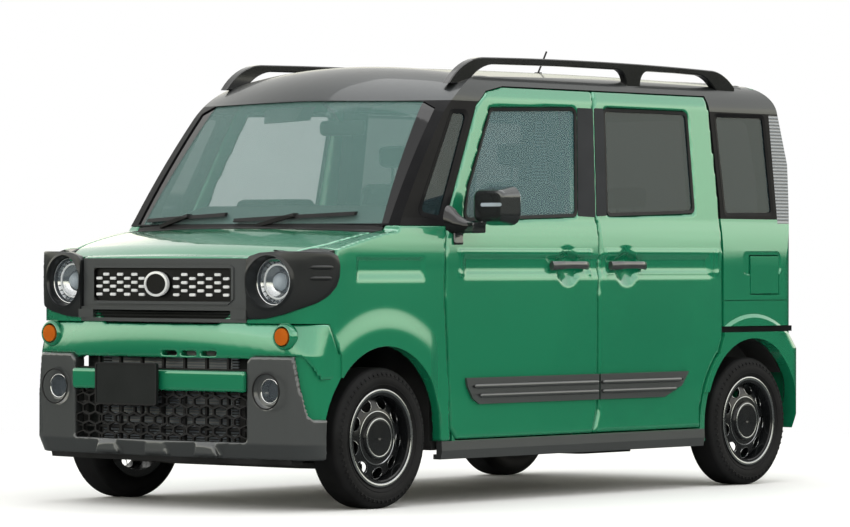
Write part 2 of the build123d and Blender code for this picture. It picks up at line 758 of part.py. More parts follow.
# ------------------------------------------------------ grille and the lamps
grille_half = 435.0
grille_low = 783.0
grille_high = 974.0
inset_half = 364.0
inset_low = 808.0
inset_high = 935.0
lamp_front_y = -1604.0
lamp_depth = 14.0
lamp_recess = 116.0
lamp_back_y = -1520.0
inset_outline = [(0, inset_low), (inset_half - 20, inset_low), (inset_half, inset_low + 14),
                 (inset_half, inset_high - 10), (inset_half - 12, inset_high), (0, inset_high)]
with BuildPart() as grille:
    add(shell.part)
    add(block(-grille_half, grille_half, -1800, -1500, grille_low, grille_high), mode=Mode.INTERSECT)
    add(front_prism(inset_outline, -1800, -1500), mode=Mode.SUBTRACT)
with BuildPart() as grille_web:
    add(glazing.part)
    add(front_prism(inset_outline, -1800, -1500), mode=Mode.INTERSECT)
frame_outer = [(0, inset_low - 13), (inset_half - 14, inset_low - 13), (inset_half + 13, inset_low + 8),
               (inset_half + 13, inset_high + 2), (inset_half - 6, inset_high + 13), (0, inset_high + 13)]
frame_proud = 5.0
with BuildPart() as grille_frame:
    add(front_prism(frame_outer, -1800, -1500))
    add(front_prism(inset_outline, -1800, -1500), mode=Mode.SUBTRACT)
    add(envelope(0, -frame_proud, 0), mode=Mode.INTERSECT)
    add(outer, mode=Mode.SUBTRACT)
with BuildPart() as grille_full:
    add(grille.part)
    add(grille_web.part)
    add(grille_frame.part)
    with BuildSketch(Plane.XZ.offset(-nose_y + 12)):
        with Locations((0, 874)):
            Ellipse(60, 48)
    extrude(amount=-20)
    for x in (-320, 280):
        add(block(x, x + 40, -1640, -1624, grille_high, hood_edge_z - seat_gap))
finish(grille_full.part, "grille")

pod_middle_z = 868.0
pod_half_height = 124.0
pod_taper = 7.0
lamp_ring = 124.0
ring_front_y = -1640.0
with BuildPart() as lamp_pods:
    with BuildSketch(Plane.XY.offset(pod_middle_z)):
        with BuildLine():
            Polyline((420, -1540), (420, -1652), (640, -1628))
            ThreePointArc((640, -1628), (682, -1614), (704, -1578))
            Polyline((704, -1578), (729, -1496), (600, -1496), (420, -1540))
        make_face()
        mirror(about=Plane.YZ)
    extrude(amount=pod_half_height, both=True, taper=pod_taper)
    add(pair_rods(lamp_x, lamp_z, lamp_ring, ring_front_y, -1560))
    add(side_prism(headlamp_rear, -800, 800), mode=Mode.INTERSECT)

with BuildPart() as headlamps:
    add(shell.part)
    add(side_prism(headlamp_rear, -800, 800), mode=Mode.INTERSECT)
    add(lamp_pods.part)
    add(block(-headlamp_inner_x, headlamp_inner_x, -1800, -1300, 0, 1900), mode=Mode.SUBTRACT)
    add(pair_rods(lamp_x, lamp_z, lamp_radius + 10, lamp_front_y + 10, lamp_back_y))
    add(hood_plan(hood_edge_z - 5, 1900, panel_gap), mode=Mode.SUBTRACT)
    add(pair_rods(lamp_x, lamp_z, lamp_recess, -1800, lamp_front_y), mode=Mode.SUBTRACT)
    add(pair_rods(lamp_x, lamp_z, lamp_radius, -1800, lamp_back_y - 10), mode=Mode.SUBTRACT)
finish(headlamps.part, "headlamps")
with BuildPart() as headlamp_lenses:
    add(pair_rods(lamp_x, lamp_z, lamp_radius, lamp_front_y, lamp_front_y + lamp_depth))
finish(headlamp_lenses.part, "headlamp_lenses")
with BuildPart() as fog_lamps:
    add(pair_rods(fog_x, fog_z, fog_radius, -1650, -1605))
finish(fog_lamps.part, "fog_lamps")
with BuildPart() as indicators:
    add(pair_rods(indicator_x, indicator_z, indicator_radius, -1652, -1600))
finish(indicators.part, "indicators")

# ------------------------------------------------- rear bumper, sills, rails
rear_bumper_y = 1697.5
rear_bumper_low = 277.0
rear_bumper_shelf = 585.0


def rear_plan(level, face_y, inset):
    edge = half_width - inset
    bend = max(tail_corner - inset, 20)
    flat = math.sqrt(0.5)
    back = face_y - inset
    with BuildSketch(Plane.XY.offset(level)) as plan:
        with BuildLine():
            Line((0, back), (edge - bend, back - 14))
            ThreePointArc((edge - bend, back - 14), (edge - bend * (1 - flat), back - 14 - bend * (1 - flat)),
                          (edge, back - 14 - bend))
            Polyline((edge, back - 14 - bend), (edge, 1440), (0, 1440))
            mirror(about=Plane.YZ)
        make_face()
    return plan.sketch


def rear_body(inset):
    with BuildPart() as body:
        add(rear_plan(rear_bumper_low - 40, rear_bumper_y - 20, inset + 6))
        add(rear_plan(rear_bumper_low + 20, rear_bumper_y, inset))
        loft()
        add(rear_plan(rear_bumper_low + 20, rear_bumper_y, inset))
        extrude(amount=rear_bumper_shelf - rear_bumper_low - 20)
        add(rear_plan(rear_bumper_shelf, rear_bumper_y, inset))
        add(rear_plan(bumper_line_z, tail_y + 14, inset))
        loft()
    return body.part


with BuildPart() as rear_bumper:
    add(rear_body(0.0))
    add(rear_body(50.0), mode=Mode.SUBTRACT)
    add(block(-800, 800, shelf_front_y, 1800, 0, bumper_line_z), mode=Mode.INTERSECT)
    add(drum(rear_axle_y, arch_z, arch_radius, -800, 800), mode=Mode.SUBTRACT)
    for x in (-520, 480):
        add(block(x, x + 40, 1592, 1612, bumper_line_z, 655 - seat_gap))
finish(rear_bumper.part, "rear_bumper")

guard_low = 180.0
guard_profile = [(690, guard_low), (728, guard_low), (735, 215), (733, guard_high), (guard_inner_x, guard_high),
                 (guard_inner_x, body_floor_z), (690, body_floor_z)]
with BuildPart() as sill_guards:
    add(pair_prism(guard_profile, -822, 940))
finish(sill_guards.part, "sill_guards")

rail_bar_x = 600.0
rail_bar_z = 1786.0
rail_bar_front = -640.0
rail_bar_rear = 1320.0
rail_feet = [(-635, -430), (540, 640), (1100, 1320)]
with BuildPart() as roof_rails:
    for x in (rail_bar_x, -rail_bar_x):
        with BuildSketch(Plane.YZ.offset(x - 17)):
            with BuildLine():
                Polyline((-640, 1668), (-560, 1742), (-430, 1790), (600, 1796), (1180, 1790), (1320, 1716),
                         (1320, 1690), (1230, 1690), (1100, 1764), (640, 1768), (640, 1700), (540, 1700),
                         (540, 1768), (-380, 1764), (-470, 1700), (-560, 1668), close=True)
            make_face()
        extrude(amount=34)
    add(outer, mode=Mode.SUBTRACT)
finish(roof_rails.part, "roof_rails")

antenna_y = 725.0
with BuildPart() as antenna:
    with BuildSketch(Plane.XY.offset(1740)):
        with Locations((0, antenna_y)):
            Circle(16)
    extrude(amount=40)
    with BuildSketch(Plane(origin=(0, antenna_y, 1778), z_dir=(0, 0.62, 1))):
        Circle(4)
    extrude(amount=110)
    add(outer, mode=Mode.SUBTRACT)
finish(antenna.part, "antenna")

# --------------------------------------------------------- floor and engine
floor_low = 215.0
floor_high = 250.0
floor_half = 679.0
firewall_y = -822.0
deck_z = 520.0
deck_front = 1010.0
house_wall = 7.0
house_open_z = 400.0
house_rear_y = 1575.0
rear_house_x = 533.0
with BuildPart() as floor_pan:
    add(block(-floor_half, floor_half, firewall_y, 940, floor_low, floor_high))
    add(block(-rear_house_x, rear_house_x, 940, deck_front + 30, floor_low, floor_high))
    add(block(-630, 630, firewall_y, firewall_y + 22, floor_high, 1058))
    add(block(-rear_house_x, rear_house_x, deck_front, deck_front + 30, floor_high, deck_z))
    add(block(-rear_house_x, rear_house_x, deck_front, 1560, deck_z - 40, deck_z))
    add(block(-rear_house_x, rear_house_x, 1530, 1560, deck_z - 75, deck_z))
    for side in (1, -1):
        add(drum(rear_axle_y, arch_z, arch_radius + house_wall, *span(rear_house_x, floor_half, side)))
    for side in (1, -1):
        add(drum(rear_axle_y, arch_z, arch_radius, *span(rear_house_x + house_wall, 800, side)),
            mode=Mode.SUBTRACT)
        add(block(*span(rear_house_x, rear_house_x + house_wall + 0.1, side), 941, 1700, -100, house_open_z),
            mode=Mode.SUBTRACT)
        add(block(*span(rear_house_x, 800, side), 900, 1800, -100, floor_low), mode=Mode.SUBTRACT)
        add(block(*span(rear_house_x, 800, side), house_rear_y, 1800, -100, 800), mode=Mode.SUBTRACT)
    for side in (1, -1):
        add(block(*span(330, 390, side), -1600, firewall_y, 330, 430))
        add(block(*span(380, 400, side), -1270, -1074, 430, 850))
        add(block(*span(380, 560, side), -1270, -1074, 850, 872))
        add(block(*span(629, 668, side), firewall_y, -735, floor_high, 1105))
    add(block(-390, 390, -1600, -1560, 262, 330))
finish(floor_pan.part, "floor_pan")

with BuildPart() as engine_block:
    add(block(-280, 290, -1500, -1180, 236, 820))
    chamfer(engine_block.edges().filter_by(Axis.Z), length=40)
finish(engine_block.part, "engine_block")

with BuildPart() as radiator:
    add(block(-320, 320, -1600, -1560, 330, 660))
finish(radiator.part, "radiator")

# -------------------------------------------------------------- running gear
king_low = (600.0, front_axle_y, 170.0)
king_high = (470.0, front_axle_y, 850.0)
spindle_start = 606.0
spindle_end = 655.0


def rod_along(start, end, radius, begin, finish_at):
    """Cylinder round the line from start to end, between two distances along it."""
    direction = Vector(*end) - Vector(*start)
    with BuildPart() as rod:
        with BuildSketch(Plane(origin=start, z_dir=direction).offset(begin)):
            Circle(radius)
        extrude(amount=finish_at - begin)
    return rod.part


king_span = (Vector(*king_high) - Vector(*king_low)).length
with BuildPart() as knuckle:
    with BuildSketch(Plane.XZ.offset(-front_axle_y - 30)):
        with BuildLine():
            Polyline((582, 186), (612, 186), (612, 330), (580, 385), (540, 385), (560, 330), (574, 275), close=True)
        make_face()
    extrude(amount=60)
    add(rod_along(king_low, king_high, 16, 14, 40))
    add(drum(front_axle_y, tyre_radius, 86, spindle_start, spindle_start + 4))
    add(drum(front_axle_y, tyre_radius, hub_bore - running_gap, spindle_start, spindle_end))
finish(knuckle.part, "knuckle_left")
with BuildPart() as knuckle_other:
    add(mirror(knuckle.part, about=Plane.YZ))
finish(knuckle_other.part, "knuckle_right")

with BuildPart() as suspension_half:
    with BuildSketch(Plane.XY.offset(148)):
        with BuildLine():
            Polyline((0, -1240), (340, -1240), (470, -1196), (600, -1194), (618, -1172), (600, -1150), (470, -1148),
                     (340, -1060), (0, -1060), close=True)
        make_face()
    extrude(amount=22)
    add(block(0, 330, -1230, -1070, 170, 236))
    add(block(332, 388, -1200, -1100, 170, 329.9))
    add(rod_along(king_low, king_high, 10, -8, 13.7))
    add(rod_along(king_low, king_high, 22, 226, 470))
    add(rod_along(king_low, king_high, 60, 440, 452))
    add(rod_along(king_low, king_high, 48, 452, 640))
    add(rod_along(king_low, king_high, 16, 640, king_span + 20))
    add(block(0, 800, -1400, -900, 849.9, 1000), mode=Mode.SUBTRACT)
with BuildPart() as front_suspension:
    add(suspension_half.part)
    mirror(about=Plane.YZ)
finish(front_suspension.part, "front_suspension")

beam_y = 1190.0
beam_z = 262.0
with BuildPart() as rear_half:
    add(drum(beam_y, beam_z, 38, 0, 540))
    add(block(482, 532, deck_front + 30, rear_axle_y + 50, 225, 300))
    add(block(532, 560, rear_axle_y - 50, rear_axle_y + 50, 225, 325))
    add(drum(rear_axle_y, tyre_radius, 95, 560, 600))
    add(drum(rear_axle_y, tyre_radius, hub_bore - running_gap, 600, spindle_end))
    add(block(420, 532, 1180, 1300, 288, 300))
    with BuildSketch(Plane.XY.offset(300)):
        with Locations((470, 1240)):
            Circle(48)
    extrude(amount=179.9)
with BuildPart() as rear_axle:
    add(rear_half.part)
    mirror(about=Plane.YZ)
finish(rear_axle.part, "rear_axle")

with BuildPart() as fuel_tank:
    add(block(-200, 420, 480, 860, 150, floor_low))
    fillet(fuel_tank.edges().filter_by(Axis.Z), radius=40)
finish(fuel_tank.part, "fuel_tank")

pipe_x = -320.0
pipe_radius = 22.0
with BuildPart() as exhaust:
    with BuildLine(Plane.YZ.offset(pipe_x)) as pipe_path:
        FilletPolyline((-1050, 193), (1080, 193), (1140, 345), (1390, 345), radius=60)
    with BuildSketch(Plane.XZ.offset(1050)):
        with Locations((pipe_x, 193)):
            Circle(pipe_radius)
    sweep(path=pipe_path.line)
    with BuildSketch(Plane.XZ.offset(-1380)):
        with Locations((pipe_x + 60, 365)):
            SlotOverall(300, 150)
    extrude(amount=-140)
    with BuildSketch(Plane.XZ.offset(-1520)):
        with Locations((pipe_x, 345)):
            Circle(pipe_radius)
    extrude(amount=-60)
finish(exhaust.part, "exhaust")


# -------------------------------------------------------------------- wheels
disc_face = 44.0
disc_shoulder = 116.0
boss_radius = 52.0
cap_radius = 104.0
crown_radius_cap = 82.0
hole_count = 9
hole_start = 35.0
hole_radius = 138.0
hole_height = 44.0
hole_width = 58.0


def wheel_plane(side, axle_y):
    """Plane through the wheel centre; its normal points out of the car."""
    return Plane(origin=(wheel_x * side, axle_y, tyre_radius), x_dir=(0, 1, 0), z_dir=(side, 0, 0))


def make_tyre(side, axle_y):
    centre = wheel_plane(side, axle_y)
    half = tyre_width / 2
    with BuildPart() as tyre:
        with BuildSketch(Plane(origin=centre.origin, x_dir=centre.x_dir, z_dir=(0, 0, 1))) as profile:
            with BuildLine():
                bead = half - 12.0
                inner = barrel_radius + seat_gap
                crown = tyre_radius
                Polyline((inner, -bead), (inner, bead), (rim_radius + 3, bead))
                ThreePointArc((rim_radius + 3, bead), (crown - 43, half), (crown - 12, half - 12))
                ThreePointArc((crown - 12, half - 12), (crown - 4, half - 19), (crown, half - 32))
                Line((crown, half - 32), (crown, 32 - half))
                ThreePointArc((crown, 32 - half), (crown - 4, 19 - half), (crown - 12, 12 - half))
                ThreePointArc((crown - 12, 12 - half), (crown - 43, -half), (rim_radius + 3, -bead))
                Line((rim_radius + 3, -bead), (inner, -bead))
            make_face()
        revolve(axis=Axis(centre.origin, (1, 0, 0)))
    return tyre.part


def make_rim(side, axle_y):
    """Steel wheel: barrel with rolled lips, dished disc with holes, hub boss and a raised cap."""
    centre = wheel_plane(side, axle_y)
    lip = tyre_width / 2 - 12.0 + seat_gap
    drop = barrel_radius - barrel_wall
    back = [(0, 12), (hub_bore, 12), (hub_bore, -34), (boss_radius, -34), (boss_radius, 36), (cap_radius, 38),
            (disc_shoulder, 38), (150, 25), (drop - 4, 14), (drop, 8)]
    barrel = [(drop, -lip - 4), (rim_radius, -lip - 4), (rim_radius, -lip), (barrel_radius, -lip),
              (barrel_radius, lip), (rim_radius, lip), (rim_radius, lip + 4), (drop + 4, lip + 4), (drop, lip)]
    front = [(drop, 20), (156, 31), (disc_shoulder, disc_face), (cap_radius + 3, disc_face + 2),
             (cap_radius, disc_face - 3), (cap_radius - 3, disc_face + 3), (crown_radius_cap + 4, disc_face + 4),
             (crown_radius_cap, disc_face + 12), (68, disc_face + 15), (0, disc_face + 17)]
    with BuildPart() as rim:
        with BuildSketch(Plane(origin=centre.origin, x_dir=(0, 1, 0), z_dir=(0, 0, 1))):
            with BuildLine():
                Polyline(*[(radius, -side * out) for radius, out in back + barrel + front], close=True)
            make_face()
        revolve(axis=Axis(centre.origin, (1, 0, 0)))
        with BuildSketch(centre.offset(10)):
            with PolarLocations(hole_radius, hole_count, start_angle=hole_start):
                Ellipse(hole_height / 2, hole_width / 2)
        extrude(amount=60, mode=Mode.SUBTRACT)
    return rim.part


for side, word in ((1, "left"), (-1, "right")):
    for axle_y, row in ((front_axle_y, "front"), (rear_axle_y, "rear")):
        finish(make_tyre(side, axle_y), "tyre_" + row + "_" + word)
        finish(make_rim(side, axle_y), "rim_" + row + "_" + word)

# ------------------------------------------------------------------ interior
wheel_tilt = 28.0
steer_x = -330.0
steer_y = -343.0
steer_z = 1041.0
steer_plane = Plane(origin=(steer_x, steer_y, steer_z), x_dir=(1, 0, 0),
                    z_dir=(0, math.cos(math.radians(wheel_tilt)), math.sin(math.radians(wheel_tilt))))
column_radius = 20.0
column_length = 176.0
with BuildPart() as dashboard:
    with BuildSketch(Plane.YZ.offset(-628)):
        with BuildLine():
            Polyline((-1160, 1062), (-1150, 1080), (-720, 1190), (-600, 1186), (-548, 1130), (-560, 900),
                     (-640, 760), (-800, 700), (-800, 1062), close=True)
        make_face()
    extrude(amount=1256)
    add(behind_bow(cowl_y + 30, 0, 1900), mode=Mode.INTERSECT)
    with BuildSketch(steer_plane.offset(-70)):
        Circle(column_radius + 24)
    extrude(amount=-260)
    with BuildSketch(steer_plane.offset(-70)):
        Circle(column_radius + running_gap)
    extrude(amount=70 - column_length - seat_gap, mode=Mode.SUBTRACT)
finish(dashboard.part, "dashboard")

with BuildPart() as steering_wheel:
    with BuildSketch(Plane(origin=steer_plane.origin, x_dir=steer_plane.x_dir,
                           z_dir=steer_plane.x_dir.cross(steer_plane.z_dir))):
        with Locations((171, 0)):
            Circle(14)
    revolve(axis=Axis(steer_plane.origin, steer_plane.z_dir))
    with BuildSketch(steer_plane.offset(-26)):
        Circle(62)
        with Locations((0, -84)):
            Rectangle(44, 150)
        with Locations((0, 0)):
            Rectangle(332, 40)
    extrude(amount=26)
    with BuildSketch(steer_plane.offset(-26)):
        Circle(column_radius)
    extrude(amount=26 - column_length)
finish(steering_wheel.part, "steering_wheel")

seat_x = 325.0
seat_half = 240.0
with BuildPart() as front_seats:
    for x in (seat_x, -seat_x):
        with BuildSketch(Plane.YZ.offset(x - seat_half)):
            with BuildLine():
                Polyline((-420, 500), (-430, 610), (-380, 640), (40, 600), (60, 640), (140, 1330), (230, 1335),
                         (240, 1280), (190, 560), (150, 480), (-380, 480), close=True)
            make_face()
        extrude(amount=2 * seat_half)
        add(block(x - 120, x + 120, 150, 222, 1345, 1461))
        add(block(x - 60, x + 60, 175, 195, 1300, 1400))
        add(block(x - 200, x + 200, -360, 120, floor_high, 480))
finish(front_seats.part, "front_seats")

with BuildPart() as rear_seat:
    with BuildSketch(Plane.YZ.offset(-520)):
        with BuildLine():
            Polyline((470, 500), (465, 600), (510, 640), (900, 610), (960, 1170), (1050, 1180), (1000, 560),
                     (990, 480), (500, 480), close=True)
        make_face()
    extrude(amount=1040)
    for x in (260, -260):
        add(block(x - 115, x + 115, 968, 1042, 1180, 1290))
    add(block(-480, 480, 540, 960, floor_high, 480))
finish(rear_seat.part, "rear_seat")

# ------------------------------------------------------- mirrors and fuel lid
mirror_x = 851.0
mirror_z = 1184.0
mirror_rear_y = -588.0
mirror_width = 190.0
mirror_height = 158.0
mirror_depth = 92.0
mirror_plate = 10.0
sail_outline = [(-752, 1030), (-696, 1030), (-690, 1112), (-704, 1122), (-750, 1122)]
with BuildPart() as mirror_shell:
    with BuildSketch(Plane.XZ.offset(-mirror_rear_y)):
        with Locations((mirror_x, mirror_z)):
            RectangleRounded(mirror_width, mirror_height, 46)
    extrude(amount=mirror_depth, taper=11)
    fillet(mirror_shell.faces().sort_by(Axis.Y)[0].edges(), radius=16)
    with BuildSketch(Plane.XZ.offset(-mirror_rear_y)):
        with Locations((mirror_x, mirror_z)):
            RectangleRounded(mirror_width - 16, mirror_height - 16, 40)
    extrude(amount=8, mode=Mode.SUBTRACT)
with BuildPart() as mirror_base:
    add(side_prism(sail_outline, 650, 800))
    add(envelope(-mirror_plate, 0, 0), mode=Mode.INTERSECT)
    with BuildSketch(Plane.YZ.offset(700)):
        with Locations((-702, 1094)):
            RectangleRounded(60, 38, 12)
    extrude(amount=120)
    add(block(770, 820, -732, -650, 1076, 1118))
    add(outer, mode=Mode.SUBTRACT)
with BuildPart() as mirror_left:
    add(mirror_shell.part)
    add(mirror_base.part)
finish(mirror_left.part, "mirror_left")
with BuildPart() as mirror_right:
    add(mirror(mirror_left.part, about=Plane.YZ))
finish(mirror_right.part, "mirror_right")

with BuildPart() as fuel_lid:
    add(side_prism(lid_outline, lid_inner_x, 760))
    add(outer, mode=Mode.INTERSECT)
finish(fuel_lid.part, "fuel_lid")
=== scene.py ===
import bpy
import bmesh
import math
from mathutils import Matrix, Vector
from mathutils.bvhtree import BVHTree


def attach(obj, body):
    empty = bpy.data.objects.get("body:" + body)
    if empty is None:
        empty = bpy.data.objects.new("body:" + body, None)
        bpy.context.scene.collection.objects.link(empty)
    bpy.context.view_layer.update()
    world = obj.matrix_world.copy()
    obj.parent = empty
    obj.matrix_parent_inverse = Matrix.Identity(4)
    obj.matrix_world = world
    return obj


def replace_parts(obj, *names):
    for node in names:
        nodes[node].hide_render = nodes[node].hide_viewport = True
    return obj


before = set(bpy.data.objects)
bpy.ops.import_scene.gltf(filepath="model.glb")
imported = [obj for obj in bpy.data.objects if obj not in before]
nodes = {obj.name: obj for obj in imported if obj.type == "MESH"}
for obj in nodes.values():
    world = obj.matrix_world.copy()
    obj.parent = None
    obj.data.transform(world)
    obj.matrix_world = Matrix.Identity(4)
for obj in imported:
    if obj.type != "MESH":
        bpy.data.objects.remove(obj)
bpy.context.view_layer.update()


# ------------------------------------------------------------------ materials
def new_material(name):
    material = bpy.data.materials.new(name)
    material.use_nodes = True
    return material, material.node_tree, material.node_tree.nodes["Principled BSDF"]


def object_coords(tree):
    return tree.nodes.new("ShaderNodeTexCoord").outputs["Object"]


def connect(socket, value):
    """Links another socket, or sets a plain value."""
    if isinstance(value, bpy.types.NodeSocket):
        socket.id_data.links.new(value, socket)
    else:
        socket.default_value = value


def settle(node, **values):
    """Connects inputs by name, with an underscore for each space."""
    for name, value in values.items():
        connect(node.inputs[name.replace("_", " ")], value)
    return node


def add_node(tree, kind, **values):
    return settle(tree.nodes.new("ShaderNode" + kind), **values)


def object_axes(tree):
    """Object coordinates as separate outputs X, Y and Z."""
    return add_node(tree, "SeparateXYZ", Vector=object_coords(tree)).outputs


def noise(tree, scale, detail=3.0, roughness=0.5):
    return add_node(tree, "TexNoise", Vector=object_coords(tree), Scale=scale, Detail=detail,
                    Roughness=roughness).outputs["Fac"]


def bands(tree, direction, scale, distortion=0.0):
    """Waves along one axis of the object."""
    node = add_node(tree, "TexWave", Vector=object_coords(tree), Scale=scale, Distortion=distortion)
    node.bands_direction = direction
    return node.outputs["Fac"]


def ramp(tree, value, stops):
    node = add_node(tree, "ValToRGB", Fac=value)
    elements = node.color_ramp.elements
    elements[0].position, elements[0].color = stops[0][0], (*stops[0][1], 1)
    elements[1].position, elements[1].color = stops[-1][0], (*stops[-1][1], 1)
    for position, colour in stops[1:-1]:
        elements.new(position).color = (*colour, 1)
    return node.outputs["Color"]


def span(tree, value, low, high):
    return add_node(tree, "MapRange", Value=value, To_Min=low, To_Max=high).outputs["Result"]


def arithmetic(tree, operation, *values):
    """Math node over numbers and sockets."""
    node = add_node(tree, "Math")
    node.operation = operation
    for socket, value in zip(node.inputs, values):
        connect(socket, value)
    return node.outputs[0]


def blend(tree, factor, first, second, kind="MIX"):
    """Colour between two sockets or plain colours."""
    node = add_node(tree, "Mix")
    node.data_type = "RGBA"
    node.blend_type = kind
    return settle(node, Factor=factor, A=first, B=second).outputs["Result"]


def bump(tree, shader, height, strength, distance):
    node = add_node(tree, "Bump", Height=height, Strength=strength, Distance=distance)
    settle(shader, Normal=node.outputs["Normal"])


def car_paint(name, dark, light, metallic=0.8, roughness=0.26, coat=1.0, coat_ior=1.5):
    """Metallic base coat with fine flakes under a clear coat."""
    material, tree, shader = new_material(name)
    flakes = noise(tree, 900.0, 1.0)
    cloud = noise(tree, 1.3, 2.0)
    tone = arithmetic(tree, "MULTIPLY_ADD", flakes, 0.22, span(tree, cloud, 0.26, 0.50))
    settle(shader, Base_Color=ramp(tree, tone, [(0.25, dark), (0.75, light)]),
           Roughness=span(tree, flakes, roughness - 0.015, roughness + 0.02),
           Metallic=metallic, Coat_Weight=coat, Coat_IOR=coat_ior, Coat_Roughness=0.03)
    bump(tree, shader, flakes, 0.004, 0.0002)
    return material


def moulded(name, dark, light, roughness=0.5, grain=900.0, depth=0.25, metallic=0.0, coat=0.0, specular=0.5):
    """Moulded plastic, rubber or cast metal with a fine grain."""
    material, tree, shader = new_material(name)
    fine = noise(tree, grain, 4.0, 0.6)
    broad = noise(tree, 7.0, 3.0)
    settle(shader, Base_Color=ramp(tree, broad, [(0.3, dark), (0.7, light)]),
           Roughness=span(tree, fine, roughness - 0.08, roughness + 0.1),
           Metallic=metallic, Coat_Weight=coat, Specular_IOR_Level=specular)
    bump(tree, shader, fine, depth, 0.0006)
    return material


def black_edge(tree, shader, alpha, half_width, lean, low, high):
    """Baked black border outside a half width that shrinks with height, and outside two heights."""
    axes = object_axes(tree)
    away = arithmetic(tree, "ABSOLUTE", axes["X"])
    reach = arithmetic(tree, "ADD", away, arithmetic(tree, "MULTIPLY", axes["Z"], lean))
    mask = arithmetic(tree, "GREATER_THAN", reach, half_width)
    mask = arithmetic(tree, "MAXIMUM", mask, arithmetic(tree, "LESS_THAN", axes["Z"], low))
    mask = arithmetic(tree, "MAXIMUM", mask, arithmetic(tree, "GREATER_THAN", axes["Z"], high))
    tint = shader.inputs["Base Color"].links[0].from_socket
    settle(shader, Base_Color=blend(tree, mask, tint, (0.006, 0.006, 0.007, 1)), Alpha=span(tree, mask, alpha, 1.0))


def tinted_glass(name, colour, alpha, specular=0.4, border=None):
    """Thin tinted glass: a see-through share, a glossy surface over it, and a black baked edge."""
    material, tree, shader = new_material(name)
    smear = noise(tree, 5.0, 3.0)
    settle(shader, Base_Color=ramp(tree, smear, [(0.2, colour), (0.8, [c * 1.1 for c in colour])]),
           Roughness=span(tree, smear, 0.02, 0.04), Alpha=alpha, Specular_IOR_Level=specular)
    if border:
        black_edge(tree, shader, alpha, *border)
    material.surface_render_method = "BLENDED"
    return material


def two_tone(name, outside, inside, half_width, low, high):
    """One colour inside a level window of the nose, another around it."""
    material, tree, shader = new_material(name)
    axes = object_axes(tree)
    mask = arithmetic(tree, "LESS_THAN", arithmetic(tree, "ABSOLUTE", axes["X"]), half_width)
    mask = arithmetic(tree, "MULTIPLY", mask, arithmetic(tree, "GREATER_THAN", axes["Z"], low))
    mask = arithmetic(tree, "MULTIPLY", mask, arithmetic(tree, "LESS_THAN", axes["Z"], high))
    speckle = ramp(tree, noise(tree, 500.0), [(0.3, [c * 0.9 for c in outside]), (0.7, [c * 1.1 for c in outside])])
    settle(shader, Base_Color=blend(tree, mask, speckle, (*inside, 1)), Metallic=span(tree, mask, 0.5, 0.0),
           Roughness=0.34, Specular_IOR_Level=0.25)
    return material


def ribbed_lamp(name, rear_y):
    """Clear lamp cover over ribbed reflectors, red on the part that faces the rear."""
    material, tree, shader = new_material(name)
    ribs = bands(tree, "Z", 22.0)
    mask = arithmetic(tree, "GREATER_THAN", object_axes(tree)["Y"], rear_y)
    clear = ramp(tree, ribs, [(0.2, (0.06, 0.065, 0.075)), (0.7, (0.24, 0.26, 0.29))])
    settle(shader, Base_Color=blend(tree, mask, clear, (0.22, 0.008, 0.008, 1)), Roughness=0.15, Coat_Weight=0.3)
    bump(tree, shader, ribs, 0.3, 0.002)
    return material


def cloth(name, dark, light):
    """Woven cover with crossing threads."""
    material, tree, shader = new_material(name)
    threads = [bands(tree, direction, 700.0 / 6, 0.4) for direction in ("X", "Z")]
    weave = arithmetic(tree, "MULTIPLY", *threads)
    settle(shader, Base_Color=ramp(tree, weave, [(0.1, dark), (0.8, light)]), Roughness=0.9, Sheen_Weight=0.3)
    bump(tree, shader, weave, 0.4, 0.0008)
    return material


green_paint = car_paint("green_paint", (0.004, 0.170, 0.082), (0.012, 0.260, 0.120), metallic=0.35, roughness=0.24,
                        coat_ior=1.75)
roof_paint = car_paint("roof_paint", (0.024, 0.027, 0.028), (0.055, 0.060, 0.062), roughness=0.36, coat=0.45)
reflector_red = moulded("reflector_red", (0.20, 0.006, 0.006), (0.28, 0.010, 0.010), 0.15, 500, 0.02)
mirror_paint = car_paint("mirror_paint", (0.035, 0.038, 0.040), (0.080, 0.086, 0.088))
gunmetal = car_paint("gunmetal", (0.045, 0.049, 0.051), (0.095, 0.100, 0.103), metallic=0.6, roughness=0.40)
gloss_black = moulded("gloss_black", (0.004, 0.004, 0.004), (0.009, 0.009, 0.010), 0.14, 500, 0.02, coat=0.25)
wheel_black = moulded("wheel_black", (0.005, 0.0055, 0.006), (0.009, 0.010, 0.011), 0.22, 300, 0.03,
                      specular=0.3, coat=0.2)
grained_black = moulded("grained_black", (0.006, 0.006, 0.006), (0.014, 0.014, 0.015), 0.55, specular=0.25)
rubber = moulded("tyre_rubber", (0.005, 0.005, 0.0055), (0.010, 0.010, 0.011), 0.66, 400, 0.3, specular=0.18)
underbody = moulded("underbody_steel", (0.012, 0.012, 0.012), (0.030, 0.030, 0.031), 0.6, 200, 0.3)
cast_iron = moulded("cast_iron", (0.05, 0.05, 0.05), (0.12, 0.115, 0.11), 0.55, 160, 0.5, metallic=0.8)
cast_alloy = moulded("cast_alloy", (0.22, 0.22, 0.22), (0.36, 0.36, 0.36), 0.42, 220, 0.4, metallic=0.9)
dull_steel = moulded("dull_steel", (0.18, 0.175, 0.165), (0.34, 0.33, 0.31), 0.4, 120, 0.3, metallic=1.0)
bright_metal = moulded("bright_metal", (0.62, 0.63, 0.64), (0.78, 0.79, 0.80), 0.12, 300, 0.02, metallic=1.0)
cabin_plastic = moulded("cabin_plastic", (0.010, 0.010, 0.010), (0.022, 0.022, 0.022), 0.6, 700, 0.4)
headliner = moulded("headliner", (0.30, 0.29, 0.27), (0.38, 0.37, 0.35), 0.9, 300, 0.4)
seat_cloth = cloth("seat_cloth", (0.010, 0.010, 0.010), (0.040, 0.038, 0.036))
screen_glass = tinted_glass("screen_glass", (0.20, 0.36, 0.34), 0.24, specular=0.5,
                            border=(0.822, 0.165, 1.112, 1.612))
